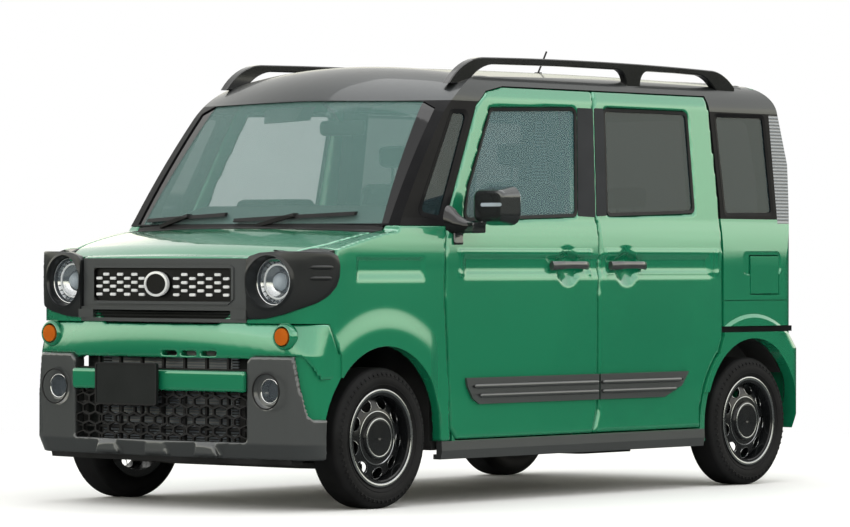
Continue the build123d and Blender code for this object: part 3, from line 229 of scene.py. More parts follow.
privacy_glass = tinted_glass("privacy_glass", (0.012, 0.024, 0.028), 0.72, specular=0.35)
door_glass = tinted_glass("door_glass", (0.08, 0.17, 0.19), 0.40)
lens_glass = tinted_glass("lens_glass", (0.30, 0.36, 0.42), 0.10, specular=0.5)
amber_lens = moulded("amber_lens", (0.36, 0.075, 0.006), (0.52, 0.130, 0.010), 0.12, 60, 0.6, coat=0.3)
handle_paint = car_paint("handle_paint", (0.045, 0.047, 0.050), (0.110, 0.114, 0.118), metallic=0.6, roughness=0.3)
post_panel = moulded("post_panel", (0.012, 0.014, 0.018), (0.018, 0.020, 0.025), 0.3, 500, 0.03, specular=0.1)
# satin black of the pillars and window rubbers, also of the strip of painted shade in the sliding door's rail slot
post_black = moulded("post_black", (0.006, 0.006, 0.007), (0.010, 0.010, 0.011), 0.3, 500, 0.03, specular=0.06)
grille_finish = two_tone("grille_finish", (0.080, 0.085, 0.088), (0.004, 0.004, 0.004), 0.3655, 0.8065, 0.9365)
tail_cover = ribbed_lamp("tail_cover", 1.655)
lamp_bezel = car_paint("lamp_bezel", (0.008, 0.009, 0.010), (0.020, 0.022, 0.024), metallic=0.4,
                       roughness=0.34, coat=0.3)
capsule_silver = moulded("capsule_silver", (0.70, 0.71, 0.72), (0.82, 0.83, 0.84), 0.3, 300, 0.02, metallic=0.3)
mirror_glass = moulded("mirror_glass", (0.75, 0.77, 0.78), (0.80, 0.82, 0.83), 0.04, 200, 0.0, metallic=1.0)
# bright metal of the wheel's lip ring and of the painted highlight rings round its holes and on its cap
rim_bright = moulded("rim_bright", (0.30, 0.31, 0.32), (0.42, 0.43, 0.44), 0.2, 300, 0.02, metallic=1.0, coat=0.5)
# black of the blank plate, also of the panels of painted shade behind both intakes
plate_black = moulded("plate_black", (0.006, 0.008, 0.008), (0.010, 0.012, 0.012), 0.5, 500, 0.05, specular=0.2)
condenser = moulded("condenser", (0.10, 0.12, 0.14), (0.18, 0.20, 0.23), 0.5, 300, 0.2)
lamp_white = moulded("lamp_white", (0.80, 0.82, 0.84), (0.88, 0.90, 0.92), 0.25, 300, 0.02)
lamp_lens = tinted_glass("lamp_lens", (0.60, 0.68, 0.75), 0.55)

# Finish of each node; the rest are grained black.
FINISHES = (
    (green_paint, "body_frame front_fenders hood front_bumper rear_bumper sliding_doors tailgate fuel_lid "
                  "door_left door_right"),
    (roof_paint, "roof_panel"), (screen_glass, "windscreen"), (grille_finish, "grille"), (lamp_bezel, "headlamps"),
    (privacy_glass, "side_glass sliding_door_glass tailgate_glass"), (door_glass, "door_glass_left door_glass_right"),
    (gunmetal, "bumper_guard sill_guards side_mouldings door_moulding_left door_moulding_right"),
    (mirror_paint, "mirror_left mirror_right"), (lens_glass, "headlamp_lenses fog_lamps"), (amber_lens, "indicators"),
    (tail_cover, "tail_lamps"), (gloss_black, "roof_rails"), (post_black, "pillars"), (underbody, "floor_pan"),
    (cast_alloy, "engine_block radiator"), (cast_iron, "front_suspension rear_axle knuckle_left knuckle_right"),
    (dull_steel, "exhaust"), (cabin_plastic, "dashboard steering_wheel"), (seat_cloth, "front_seats rear_seat"),
    (rubber, "tyre_front_left tyre_front_right tyre_rear_left tyre_rear_right"),
    (wheel_black, "rim_front_left rim_front_right rim_rear_left rim_rear_right"))
finishes = {name: finish for finish, names in FINISHES for name in names.split()}
for name, node in nodes.items():
    finish = finishes.get(name, grained_black)
    for slot in node.material_slots:
        slot.material = finish
    if not node.material_slots:
        node.data.materials.append(finish)


# ------------------------------------------------------------- shape helpers
MM = 0.001
FRONT_AXLE_Y = -1172.0
REAR_AXLE_Y = 1288.0
AXLE_Z = 275.0
NOSE_SWEEP = 5800.0     # the nose falls back by the square of the distance from the middle over this
BELT = (1135.0, 716.5)
RAIL = (1612.0, 667.0)
WALL = 737.5
SIDES = ((1, "left"), (-1, "right"))


def mm(x, y, z):
    """Point in metres from millimetres."""
    return Vector((x, y, z)) * MM


def circle(count):
    """Angles of equal steps once round."""
    return [2 * math.pi * k / count for k in range(count)]


def upright(*levels):
    """Rings standing across the car: pairs of an (x, z) outline and its place along y."""
    return [[mm(x, y, z) for x, z in outline] for outline, y in levels]


def side_x(z):
    """Distance of the side surface from the centre plane at a height, in mm."""
    if z <= 430:
        return 728 + (WALL - 728) * max(z - 255, 0) / 175
    if z <= 930:
        return WALL
    if z <= BELT[0]:
        share = (z - 930) / (BELT[0] - 930)
        return WALL - (WALL - BELT[1]) * share ** 1.6
    return BELT[1] + (RAIL[1] - BELT[1]) * (z - BELT[0]) / (RAIL[0] - BELT[0])


def on_side(y, z, side, lift):
    return mm(side * (side_x(z) + lift), y, z)


def nose_y_at(x):
    """Place of the front face at a distance from the centre plane, in mm."""
    return -1675.0 + x * x / NOSE_SWEEP


def inset(points, distance):
    """Polygon with every edge moved inwards; the points run anticlockwise or clockwise."""
    area = sum(a[0] * b[1] - b[0] * a[1] for a, b in zip(points, points[1:] + points[:1]))
    turn = 1 if area > 0 else -1
    moved = []
    for before, here, after in zip(points[-1:] + points[:-1], points, points[1:] + points[:1]):
        first = (Vector(here) - Vector(before)).normalized()
        second = (Vector(after) - Vector(here)).normalized()
        n1 = Vector((-first.y, first.x)) * turn
        n2 = Vector((-second.y, second.x)) * turn
        bend = n1 + n2
        bend = bend / max(bend.length_squared, 0.2) * 2
        moved.append(tuple(Vector(here) + bend * distance))
    return moved


def rounded(points, radius, steps=5):
    """Polygon with every corner replaced by an arc."""
    result = []
    for before, here, after in zip(points[-1:] + points[:-1], points, points[1:] + points[:1]):
        here = Vector(here)
        a = Vector(before) - here
        b = Vector(after) - here
        half = a.angle(b) / 2
        cut = min(radius / math.tan(half), a.length * 0.45, b.length * 0.45)
        r = cut * math.tan(half)
        centre = here + (a.normalized() + b.normalized()).normalized() * (r / math.sin(half))
        start = here + a.normalized() * cut - centre
        end = here + b.normalized() * cut - centre
        sweep = start.angle_signed(end) if start.length and end.length else 0.0
        for k in range(steps + 1):
            t = -sweep * k / steps
            spoke = Vector((start.x * math.cos(t) - start.y * math.sin(t),
                            start.x * math.sin(t) + start.y * math.cos(t)))
            result.append(tuple(centre + spoke))
    return result


def rectangle(width, height, x=0.0, z=0.0):
    return [(x - width / 2, z - height / 2), (x + width / 2, z - height / 2),
            (x + width / 2, z + height / 2), (x - width / 2, z + height / 2)]


def raw_mesh(name, verts, faces=()):
    mesh = bpy.data.meshes.new(name)
    mesh.from_pydata([tuple(v) for v in verts], [], faces)
    return mesh


def add_object(name, data):
    thing = bpy.data.objects.new(name, data)
    bpy.context.scene.collection.objects.link(thing)
    return thing


def baked(piece):
    """Mesh of a piece with its modifiers worked in."""
    depsgraph = bpy.context.evaluated_depsgraph_get()
    depsgraph.update()
    return bpy.data.meshes.new_from_object(piece.evaluated_get(depsgraph))


def even_out(piece, material, voxel, rounds=0):
    """Gives a piece even cells of a size in metres, smoothed some rounds, and one material."""
    remesh = piece.modifiers.new("Remesh", "REMESH")
    remesh.mode = "VOXEL"
    remesh.voxel_size = voxel
    if rounds:
        smooth = piece.modifiers.new("Smooth", "SMOOTH")
        smooth.factor = 0.5
        smooth.iterations = rounds
    even = baked(piece)
    piece.modifiers.clear()
    piece.data = even
    for face in even.polygons:
        face.use_smooth = True
    even.materials.clear()
    even.materials.append(material)


def make_piece(name, body, material, verts, faces, smooth=0.6):
    """Closed mesh in the shared frame, riding on a body."""
    mesh = raw_mesh(name, verts, faces)
    work = bmesh.new()
    work.from_mesh(mesh)
    bmesh.ops.remove_doubles(work, verts=work.verts, dist=1e-6)
    bmesh.ops.recalc_face_normals(work, faces=work.faces)
    for edge in work.edges:
        edge.smooth = len(edge.link_faces) == 2 and edge.calc_face_angle(0.0) < smooth
    for face in work.faces:
        face.smooth = True
    work.to_mesh(mesh)
    work.free()
    piece = add_object(name, mesh)
    mesh.materials.append(material)
    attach(piece, body)
    return piece


class Shape:
    """Vertices and faces gathered for one piece."""

    def __init__(self):
        self.verts = []
        self.faces = []

    def loft(self, rings, closed=True, caps=True):
        """Skin over rings of equal length; caps close the two ends."""
        base = len(self.verts)
        count = len(rings[0])
        for ring in rings:
            self.verts += [Vector(v) for v in ring]
        for k in range(len(rings) - 1):
            for i in range(count if closed else count - 1):
                j = (i + 1) % count
                a = base + k * count
                self.faces.append((a + i, a + j, a + count + j, a + count + i))
        if caps:
            self.faces.append(tuple(base + i for i in range(count))[::-1])
            self.faces.append(tuple(base + (len(rings) - 1) * count + i for i in range(count)))
        return self

    def hoop(self, rings):
        """Skin over rings that closes on itself, such as a window frame."""
        return self.loft(rings + rings[:1], caps=False)

    def slab(self, low, high):
        """Closed plate between two matching outlines."""
        return self.loft([low, high])

    def box(self, x0, x1, y0, y1, z0, z1):
        low = [(x0, y0, z0), (x1, y0, z0), (x1, y1, z0), (x0, y1, z0)]
        high = [(x, y, z1) for x, y, z in low]
        return self.slab([Vector(v) * MM for v in low], [Vector(v) * MM for v in high])

    def lathe(self, profile, origin, axis, steps=48, closed=True):
        """Profile of (radius, along) turned round an axis; origin and sizes in mm."""
        axis = Vector(axis).normalized()
        across = axis.orthogonal().normalized()
        other = axis.cross(across)
        rings = []
        for t in circle(steps):
            spoke = across * math.cos(t) + other * math.sin(t)
            rings.append([(Vector(origin) + spoke * radius + axis * along) * MM for radius, along in profile])
        return self.loft(rings + rings[:1], closed=closed, caps=False)

    def tube(self, points, radius, steps=10):
        """Round bar along points in mm."""
        points = [Vector(p) for p in points]
        rings = []
        for k, here in enumerate(points):
            ahead = points[min(k + 1, len(points) - 1)] - points[max(k - 1, 0)]
            across = ahead.cross(Vector((0, 0, 1)))
            across = across.normalized() if across.length > 1e-6 else Vector((1, 0, 0))
            up = across.cross(ahead).normalized()
            rings.append([(here + across * radius * math.cos(a) + up * radius * math.sin(a)) * MM
                          for a in circle(steps)])
        return self.loft(rings)

    def place(self, name, material, smooth=0.6, body="body"):
        return make_piece(name, body, material, self.verts, self.faces, smooth)


# ----------------------------------------------------------- pressed panels
def ease(value):
    value = min(max(value, 0.0), 1.0)
    return value * value * (3 - 2 * value)


def pressed(node, body, material, voxel, rounds, form=None):
    """Copy of a node with its edges rolled over and flat faces kept, shaped by a form in mm."""
    source = nodes[node]
    mesh = source.data.copy()
    mesh.transform(source.matrix_world)
    piece = add_object(node + "_skin", mesh)
    tree = BVHTree.FromPolygons([v.co.copy() for v in mesh.vertices], [tuple(f.vertices) for f in mesh.polygons])
    even_out(piece, material, voxel * MM, rounds)
    for vertex in piece.data.vertices:
        place, _, _, gap = tree.find_nearest(vertex.co)
        vertex.co = place.lerp(vertex.co, ease((gap / MM - 0.35) / 1.2))
        if form:
            vertex.co = Vector(form(*(vertex.co / MM))) * MM
    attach(piece, body)
    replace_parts(piece, node)
    return piece


CROWN = 3.4e-5          # curve of the flank from sill to shoulder
TROUGH = (886.0, 988.0)
ENDLESS = 9000.0        # end of a trough that runs on past its panel
OLD_BAND = (905.0, 1012.0)    # plain trough of the nodes, filled in the skins
OLD_DEPTH = 6.0
OLD_SLOPE = 7.2
FRONT_TROUGH, FRONT_OLD = (-690.0, ENDLESS), (-720.0, 150.0)
SLIDE_TROUGH, SLIDE_OLD = (-ENDLESS, 985.0), (240.0, 1040.0)
FENDER_TROUGH = (-1347.0, -927.0)


def flank(z):
    """Side surface with a slight crown between sill and shoulder."""
    if z < 430:
        return WALL - CROWN * 270 ** 2
    if z < 930:
        return WALL - CROWN * (z - 700) ** 2
    return side_x(z) - CROWN * 230 ** 2 * (1 - ease((z - 930) / 120))


def trough(y, z, start, end):
    """Depth of the stamped trough under the shoulder, with a broad lower slope."""
    if not TROUGH[0] < z < TROUGH[1]:
        return 0.0
    ends = min(ease((end - y) / 22), ease((y - start) / 22))
    return 9 * min(ends, ease((TROUGH[1] - z) / 12), ease((z - TROUGH[0]) / 52))


def side_form(start, end, old_start, old_end):
    """Shapes a door's outer skin: fills the plain trough between its old ends and presses the curved one."""
    def form(x, y, z):
        side = 1 if x > 0 else -1
        out = abs(x)
        face = side_x(z)
        if out > face - 9:
            inside = min(z - OLD_BAND[0], OLD_BAND[1] - z, y - old_start, old_end - y)
            out += OLD_DEPTH * min(max(inside / OLD_SLOPE, 0.0), 1.0)
        share = ease((out - face + 26) / 22)
        return side * (out + share * (flank(z) - face - trough(y, z, start, end))), y, z
    return form


def fender_form(x, y, z):
    """Trough under the shoulder and a soft swelling over the wheel arch."""
    side = 1 if x > 0 else -1
    out = abs(x)
    reach = math.hypot(y - FRONT_AXLE_Y, z - AXLE_Z)
    ends = ease((y + 1530) / 60) * ease((-846 - y) / 60)
    swell = 9 * ease((520 - reach) / 110) * ends
    face = side_x(z)
    if out > face and z < 760:
        out = face
    share = ease((out - 690) / 40)
    flat = ease((y + 1440) / 60) * (flank(z) - face)
    return side * (out + share * (swell + flat - trough(y, z + 8, *FENDER_TROUGH))), y, z


def hood_form(x, y, z):
    """Rolls the front edge of the hood down."""
    back = y + 1630 - x * x / NOSE_SWEEP
    if abs(x) > 436:
        y = max(y, -1595.0)
    return x, y, z - 16 * (1 - min(max(back / 90, 0.0), 1.0)) ** 2


def bumper_form(x, y, z):
    """Leans the bumper's face back above and below its middle."""
    if z < 541 and abs(x) < 500:
        return x, y, z
    return x, y + 0.0011 * (z - 640) ** 2 * ease((-1560 - y) / 60), z


# Plan of the nose at lamp height, from the grille round the corner to the side.
NOSE_PLAN = [(440, -1651), (470, -1646), (500, -1641), (530, -1636), (560, -1632), (590, -1630), (622, -1627),
             (654, -1620), (683, -1605), (705, -1581), (719, -1552), (729, -1521), (735, -1491), (738, -1460),
             (739, -1430), (739, -1380)]
NOSE_STEPS = [0.0]
for before, here in zip(NOSE_PLAN, NOSE_PLAN[1:]):
    NOSE_STEPS.append(NOSE_STEPS[-1] + math.dist(before, here))
# Middles of the lamps as (x, z), and the headlamp's distance run along the nose.
LAMP = (545.0, 885.0)
LAMP_RUN = 106.0
FOG = (563.0, 465.0)
INDICATOR = (619.0, 674.0)


def nose_wall(run, z, lift, side):
    """Point on the corner surface, by distance run along the plan, height and lift."""
    run = min(max(run, 0.0), NOSE_STEPS[-1] - 0.01)
    k = max(i for i, step in enumerate(NOSE_STEPS) if step <= run)
    share = (run - NOSE_STEPS[k]) / (NOSE_STEPS[k + 1] - NOSE_STEPS[k])
    a, b, c, d = [Vector(NOSE_PLAN[min(max(i, 0), len(NOSE_PLAN) - 1)]) for i in (k - 1, k, k + 1, k + 2)]
    place = 0.5 * (2 * b + (c - a) * share + (2 * a - 5 * b + 4 * c - d) * share ** 2
                   + (3 * b - a - 3 * c + d) * share ** 3)
    along = (c - b).lerp(d - c, share).normalized() if k + 2 < len(NOSE_PLAN) else (c - b).normalized()
    place = place + Vector((along.y, -along.x)) * lift
    return mm(side * place.x, place.y, z)


def nose_run(x, y):
    """Distance run along the nose plan to the nearest place, and the lift from it."""
    here = Vector((abs(x), y))
    best = (1e9, 0.0, 0.0)
    for k, (a, b) in enumerate(zip(NOSE_PLAN, NOSE_PLAN[1:])):
        a = Vector(a)
        along = Vector(b) - a
        share = min(max((here - a).dot(along) / along.length_squared, 0.0), 1.0)
        gap = here - a - along * share
        if gap.length < best[0]:
            outward = Vector((along.y, -along.x)).normalized()
            best = (gap.length, NOSE_STEPS[k] + share * along.length, gap.dot(outward))
    return best[1], best[2]


# Edge of the guard beside the fender, as height over distance run.
GUARD_EDGE = [(222, 604), (226, 570), (236, 520), (250, 450), (262, 395), (272, 364), (290, 350), (348, 350),
              (363, 400), (386, 450), (421, 500), (432, 512)]


def guard_edge_z(run):
    """Height of the guard's edge at a distance run."""
    for (a, low), (b, high) in zip(GUARD_EDGE, GUARD_EDGE[1:]):
        if run <= b:
            return low + (high - low) * max(run - a, 0.0) / (b - a)
    return GUARD_EDGE[-1][1]


def guard_form(x, y, z):
    """Lets the guard pass under the fender beyond its slanted edge."""
    if abs(x) < 640 or z < 352:
        return x, y, z
    run, lift = nose_run(x, y)
    if run < 222:
        return x, y, z
    depth = ease((z - guard_edge_z(min(run, 340)) - 2) / 10)
    if lift < -16 or depth == 0.0:
        return x, y, z
    spot = nose_wall(run, z, lift + (-16 - lift) * depth, 1) / MM
    return (spot.x if x > 0 else -spot.x), spot.y, z


def bezel_back(x, y, z):
    """Keeps the lamp body behind the sculpted bezel."""
    side = 1 if x > 0 else -1
    spoke = Vector((abs(x) - 560, y + 1460))
    limit = 164 if spoke.length > 164 else spoke.length
    if abs(x) < 600:
        return x, max(y, -1622.0), z
    spoke = spoke.normalized() * limit
    return side * (560 + spoke.x), max(-1460 + spoke.y, -1622.0), z


# Outline of the lamp surround and the height of its foot, over distance run along the nose.
BEZEL = [(2, 738), (2, 968), (18, 984), (64, 997), (131, 1001), (250, 1002), (350, 1001), (393, 996), (415, 981),
         (425, 950), (422, 903), (404, 866), (362, 829), (308, 802), (250, 783), (179, 760), (87, 742)]


BEZEL_FOOT = (738, 743, 748, 757, 764, 771, 779, 788, 797, 808, 820, 836, 850, 860)


def bezel_rings(side):
    """Rings of the sculpted lamp surround, from its outer edge in to the lens."""
    outline = rounded(BEZEL, 14, 3)
    hub = Vector((LAMP_RUN + 10, LAMP[1]))
    spokes = 96
    edge = []
    for t in circle(spokes):
        ray = Vector((math.cos(t), math.sin(t)))
        best = 1e9
        for a, b in zip(outline, outline[1:] + outline[:1]):
            a = Vector(a) - hub
            b = Vector(b) - hub
            cross = ray.x * (b - a).y - ray.y * (b - a).x
            if abs(cross) < 1e-9:
                continue
            length = (a.x * (b - a).y - a.y * (b - a).x) / cross
            place = (a.x * ray.y - a.y * ray.x) / cross
            if length > 0 and -1e-6 <= place <= 1 + 1e-6:
                best = min(best, length)
        edge.append(best)

    def ring_at(share, radius, lift):
        points = []
        for t, far in zip(circle(spokes), edge):
            reach = max(radius + (far - radius) * share, min(radius, far - 4))
            spot = hub + Vector((math.cos(t), math.sin(t))) * reach - Vector((10 * (1 - share), 0))
            points.append(nose_wall(spot.x, spot.y, lift, side))
        return points

    def deep(radius, y):
        return [mm(side * (LAMP[0] + radius * math.cos(t)), y, LAMP[1] + radius * math.sin(t))
                for t in circle(spokes)]

    rings = [ring_at(1.0, 112, -16), ring_at(1.0, 112, -1), ring_at(0.985, 112, 3.5), ring_at(0.96, 112, 5.5)]
    rings += [ring_at(share, 112, 6 + 3 * (1 - share)) for share in (0.85, 0.7, 0.55, 0.4, 0.25, 0.12, 0.04)]
    rings += [ring_at(0.0, 111, 9), ring_at(0.0, 107, 13), ring_at(0.0, 101, 13), ring_at(0.0, 98, 8)]
    rings += [deep(94, -1612), deep(92, -1598), deep(97, -1594)]
    return rings


for side, word in SIDES:
    pressed("mirror_" + word, "door_" + word, mirror_paint, 3.4, 14)
    pressed("door_" + word, "door_" + word, green_paint, 8.0 if side > 0 else 10.5, 2,
            side_form(*FRONT_TROUGH, *FRONT_OLD))
    Shape().hoop(bezel_rings(side)).place("lamp_bezel_" + word, lamp_bezel, 0.9)
    for z, start, end in ((940, 277, 380), (898, 277, 372)):
        Shape().loft([[nose_wall(run, z + 8 * grow * math.cos(a), 8 + 5 * grow * math.sin(a), side)
                       for a in circle(12)]
                      for run, grow in [(start + (end - start) * t / 12,
                                         math.sqrt(max(0.04, 1 - (2 * t / 12 - 1) ** 6))) for t in range(13)]]
                     ).place("bezel_rib_%s_%d" % (word, z), lamp_bezel, 1.2)
    Shape().loft([[nose_wall(run, z, lift, side)
                   for z, lift in ((724, -3), (BEZEL_FOOT[k], -3), (BEZEL_FOOT[k], -12), (724, -12))]
                  for k, run in enumerate(range(0, 392, 30))]).place("bumper_corner_" + word, green_paint, 0.6)
    Shape().loft([[nose_wall(run, z, lift, side)
                   for z, lift in ((guard_edge_z(run), -3), (guard_edge_z(run) + 5, 1), (606, 1), (606, -9),
                                   (guard_edge_z(run), -9))] for run in range(222, 433, 6)]).place(
        "fender_skirt_" + word, green_paint, 0.6)
    # black strip filling the sliding door's rail slot: painted shade inside the slot
    Shape().box(*sorted((side * 713, side * 729)), 1066, 1592, 661, 685).place(
        "slide_rail_cover_" + word, post_black, 0.5)
pressed("sliding_doors", "body", green_paint, 9.8, 2, side_form(*SLIDE_TROUGH, *SLIDE_OLD))
pressed("front_fenders", "body", green_paint, 6.8, 3, fender_form)
pressed("hood", "hood", green_paint, 6.6, 7, hood_form)
pressed("front_bumper", "body", green_paint, 5.6, 6, bumper_form)
pressed("bumper_guard", "body", gunmetal, 6.0, 4, guard_form)
pressed("headlamps", "body", lamp_bezel, 5.0, 4, bezel_back)

# surround of the upper intake
intake = Shape()
for low, high in ((726, 740), (772, 784)):
    strip = [(low, -1), (high, -1), (high, -40), (low, -40)]
    intake.loft([[mm(x, -1686 + x * x / NOSE_SWEEP - lift, z) for z, lift in strip]
                 for x in range(-440, 441, 40)])
for x in (-406, 406):
    intake.box(x - 40, x + 40, -1661, -1620, 739, 773)
intake.place("intake_surround", gunmetal, 0.6)

# dark insert and reflectors of the rear bumper
strip = [(300, 0), (415, 0), (425, -8), (425, -30), (290, -30), (290, -8)]
Shape().loft([[mm(x, 1700.5 - 14 * abs(x) / 640 + lift, z) for z, lift in strip]
              for x in range(-560, 561, 80)]).place("rear_insert", grained_black)
for side, word in SIDES:
    Shape().box(side * 530 - 45, side * 530 + 45, 1650, 1691.5, 450, 478).place(
        "rear_reflector_" + word, reflector_red, 0.6)

# slats of the upper intake, on a black plate behind them that paints shade into the opening
slats = Shape().box(-400, 400, -1640, -1632, 736, 776)
for z in (748, 760):
    slats.box(-398, 398, -1656, -1644, z, z + 3)
slats.place("intake_slats", plate_black, 0.5)

# Window openings on the side, as (y, z).
FRONT_WINDOW = [(-672, 1124), (76, 1147), (130, 1598), (-440, 1582), (-622, 1262)]
SLIDE_WINDOW = [(275, 1150), (897, 1169), (900, 1600), (313, 1600)]
QUARTER_WINDOW = [(1108, 1156), (1478, 1160), (1468, 1602), (1092, 1600)]
CORNER_WINDOW = [(-960, 1146), (-806, 1124), (-566, 1572), (-690, 1572)]
WINDOW_CORNER = 26.0


# ------------------------------------------------- rubbers and pillar panels
def window_rubber(points, side, width=13.0):
    """Rubber frame lying in a window opening."""
    outer = rounded(points, WINDOW_CORNER)
    inner = rounded(inset(points, width), WINDOW_CORNER - width * 0.6)
    return Shape().hoop([[on_side(y, z, side, lift) for y, z in ring]
                         for ring, lift in ((outer, -5.8), (outer, 1.0), (inner, -1.5), (inner, -5.8))])


for side, word in SIDES:
    window_rubber(FRONT_WINDOW, side).place("window_rubber_" + word, grained_black, body="door_" + word)
    window_rubber(SLIDE_WINDOW, side).place("slide_rubber_" + word, grained_black)
    window_rubber(QUARTER_WINDOW, side, 16).place("quarter_rubber_" + word, post_black)
    window_rubber(CORNER_WINDOW, side, 18).place("corner_rubber_" + word, post_black)
    for name, body, panel in (
            ("door_post_panel_", "door_" + word, [(79, 1150), (196, 1146), (238, 1597), (133, 1597)]),
            ("slide_post_panel_", "body", [(207, 1150), (274, 1153), (312, 1599), (249, 1599)])):
        outline = rounded(panel, 8, 3)
        Shape().slab([on_side(y, z, side, 0.05) for y, z in outline],
                     [on_side(y, z, side, 1.6) for y, z in outline]).place(name + word, post_panel, body=body)


# ---------------------------------------------------------------- roof rails
def arc(a, b, c, steps=8):
    """Points on the arc from a through b towards c, without c itself."""
    ax, ay = a
    bx, by = b
    cx, cy = c
    d = 2 * (ax * (by - cy) + bx * (cy - ay) + cx * (ay - by))
    ux = ((ax * ax + ay * ay) * (by - cy) + (bx * bx + by * by) * (cy - ay) + (cx * cx + cy * cy) * (ay - by)) / d
    uy = ((ax * ax + ay * ay) * (cx - bx) + (bx * bx + by * by) * (ax - cx) + (cx * cx + cy * cy) * (bx - ax)) / d
    first = Vector((ax - ux, ay - uy))
    sweep = first.angle_signed(Vector((cx - ux, cy - uy)))
    return [(ux + first.x * math.cos(t) + first.y * math.sin(t), uy - first.x * math.sin(t) + first.y * math.cos(t))
            for t in [sweep * k / steps for k in range(steps)]]


RAIL_LINE = (arc((-640, 1676), (-548, 1752), (-420, 1788)) + arc((-420, 1788), (380, 1797), (1160, 1786), 20)
             + arc((1160, 1786), (1248, 1764), (1320, 1716)) + [(1320, 1716), (1320, 1690)]
             + arc((1190, 1690), (1130, 1742), (1060, 1764)) + [(1060, 1764), (900, 1767)]
             + arc((690, 1768), (656, 1750), (640, 1696)) + [(640, 1696)]
             + arc((540, 1696), (524, 1750), (490, 1768)) + [(490, 1768), (80, 1768)]
             + arc((-330, 1762), (-440, 1738), (-520, 1676)) + [(-520, 1676)])
rails = Shape()
for side, word in SIDES:
    rails.loft([[mm(side * (583 + step), y, z) for y, z in (inset(RAIL_LINE, trim) if trim else RAIL_LINE)]
                for step, trim in ((0, 4), (4, 0), (30, 0), (34, 4))])
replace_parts(rails.place("roof_rail_bars", gloss_black, 0.7), "roof_rails")


# -------------------------------------------------------------- door handles
def handle(start, end, side):
    """Grip bar bowed over a bowl, with a thick root at each end."""
    rings = []
    for k in range(17):
        share = k / 16
        y = start + (end - start) * share
        rise = math.sin(math.pi * share)
        out = 4 + 24 * min(1.0, rise * 1.9)
        half_height = 19 - 4 * rise
        thick = 8 if 0.12 < share < 0.88 else 14
        z = 946 + 3 * rise
        rings.append([mm(side * (WALL + out + thick * math.cos(a) * 0.8), y, z + half_height * math.sin(a))
                      for a in circle(14)])
    return Shape().loft(rings)


for side, word in SIDES:
    handle(-128, 110, side).place("handle_front_" + word, handle_paint, 1.0, body="door_" + word)
    handle(268, 506, side).place("handle_slide_" + word, handle_paint, 1.0)


# Foot of the outer mirrors as (x, y, z, half width, half height), repeater strip and glass.
MIRROR_FOOT = ((712, -752, 1128, 46, 58), (726, -748, 1124, 42, 52), (745, -735, 1112, 34, 36),
               (775, -712, 1104, 30, 22), (815, -690, 1104, 30, 14))
for side, word in SIDES:
    foot = Shape().loft([[mm(side * x, y + ry * math.cos(a), z + rz * math.sin(a)) for a in circle(20)]
                         for x, y, z, ry, rz in MIRROR_FOOT])
    foot.place("mirror_foot_" + word, gloss_black, 0.9, body="door_" + word)
    strip = rounded(rectangle(96, 14, 872, 1188), 6, 3)
    Shape().slab([mm(side * x, -688 + 0.10 * (x - 800), z) for x, z in strip],
                 [mm(side * x, -694 + 0.10 * (x - 800), z) for x, z in strip]).place(
        "mirror_repeater_" + word, lamp_lens, 0.6, body="door_" + word)
    pane = rounded(rectangle(150, 118, 852, 1184), 26, 4)
    pane = [(side * x, z) for x, z in pane]
    Shape().slab(*upright((pane, -571), (pane, -566))).place(
        "mirror_pane_" + word, mirror_glass, 0.6, body="door_" + word)

# ribs of the side mouldings
for side, word in SIDES:
    for start, end, row, body in ((-664, 176, "front", "door_" + word), (203, 776, "rear", "body")):
        ribs = Shape()
        for z, trim in ((466, 26), (428, 62)):
            first = start + (trim if row == "front" else 0)
            last = end - (trim if row == "rear" else 0)
            ribs.loft([[mm(side * (752 + 4.5 * grow * math.sin(a)), y, z + 8 * grow * math.cos(a))
                        for a in circle(10)]
                       for y, grow in ((first, 0.3), (first + 4, 0.9), (first + 10, 1), (last - 10, 1),
                                       (last - 4, 0.9), (last, 0.3))])
        ribs.place("moulding_ribs_%s_%s" % (word, row), gunmetal, 0.9, body=body)


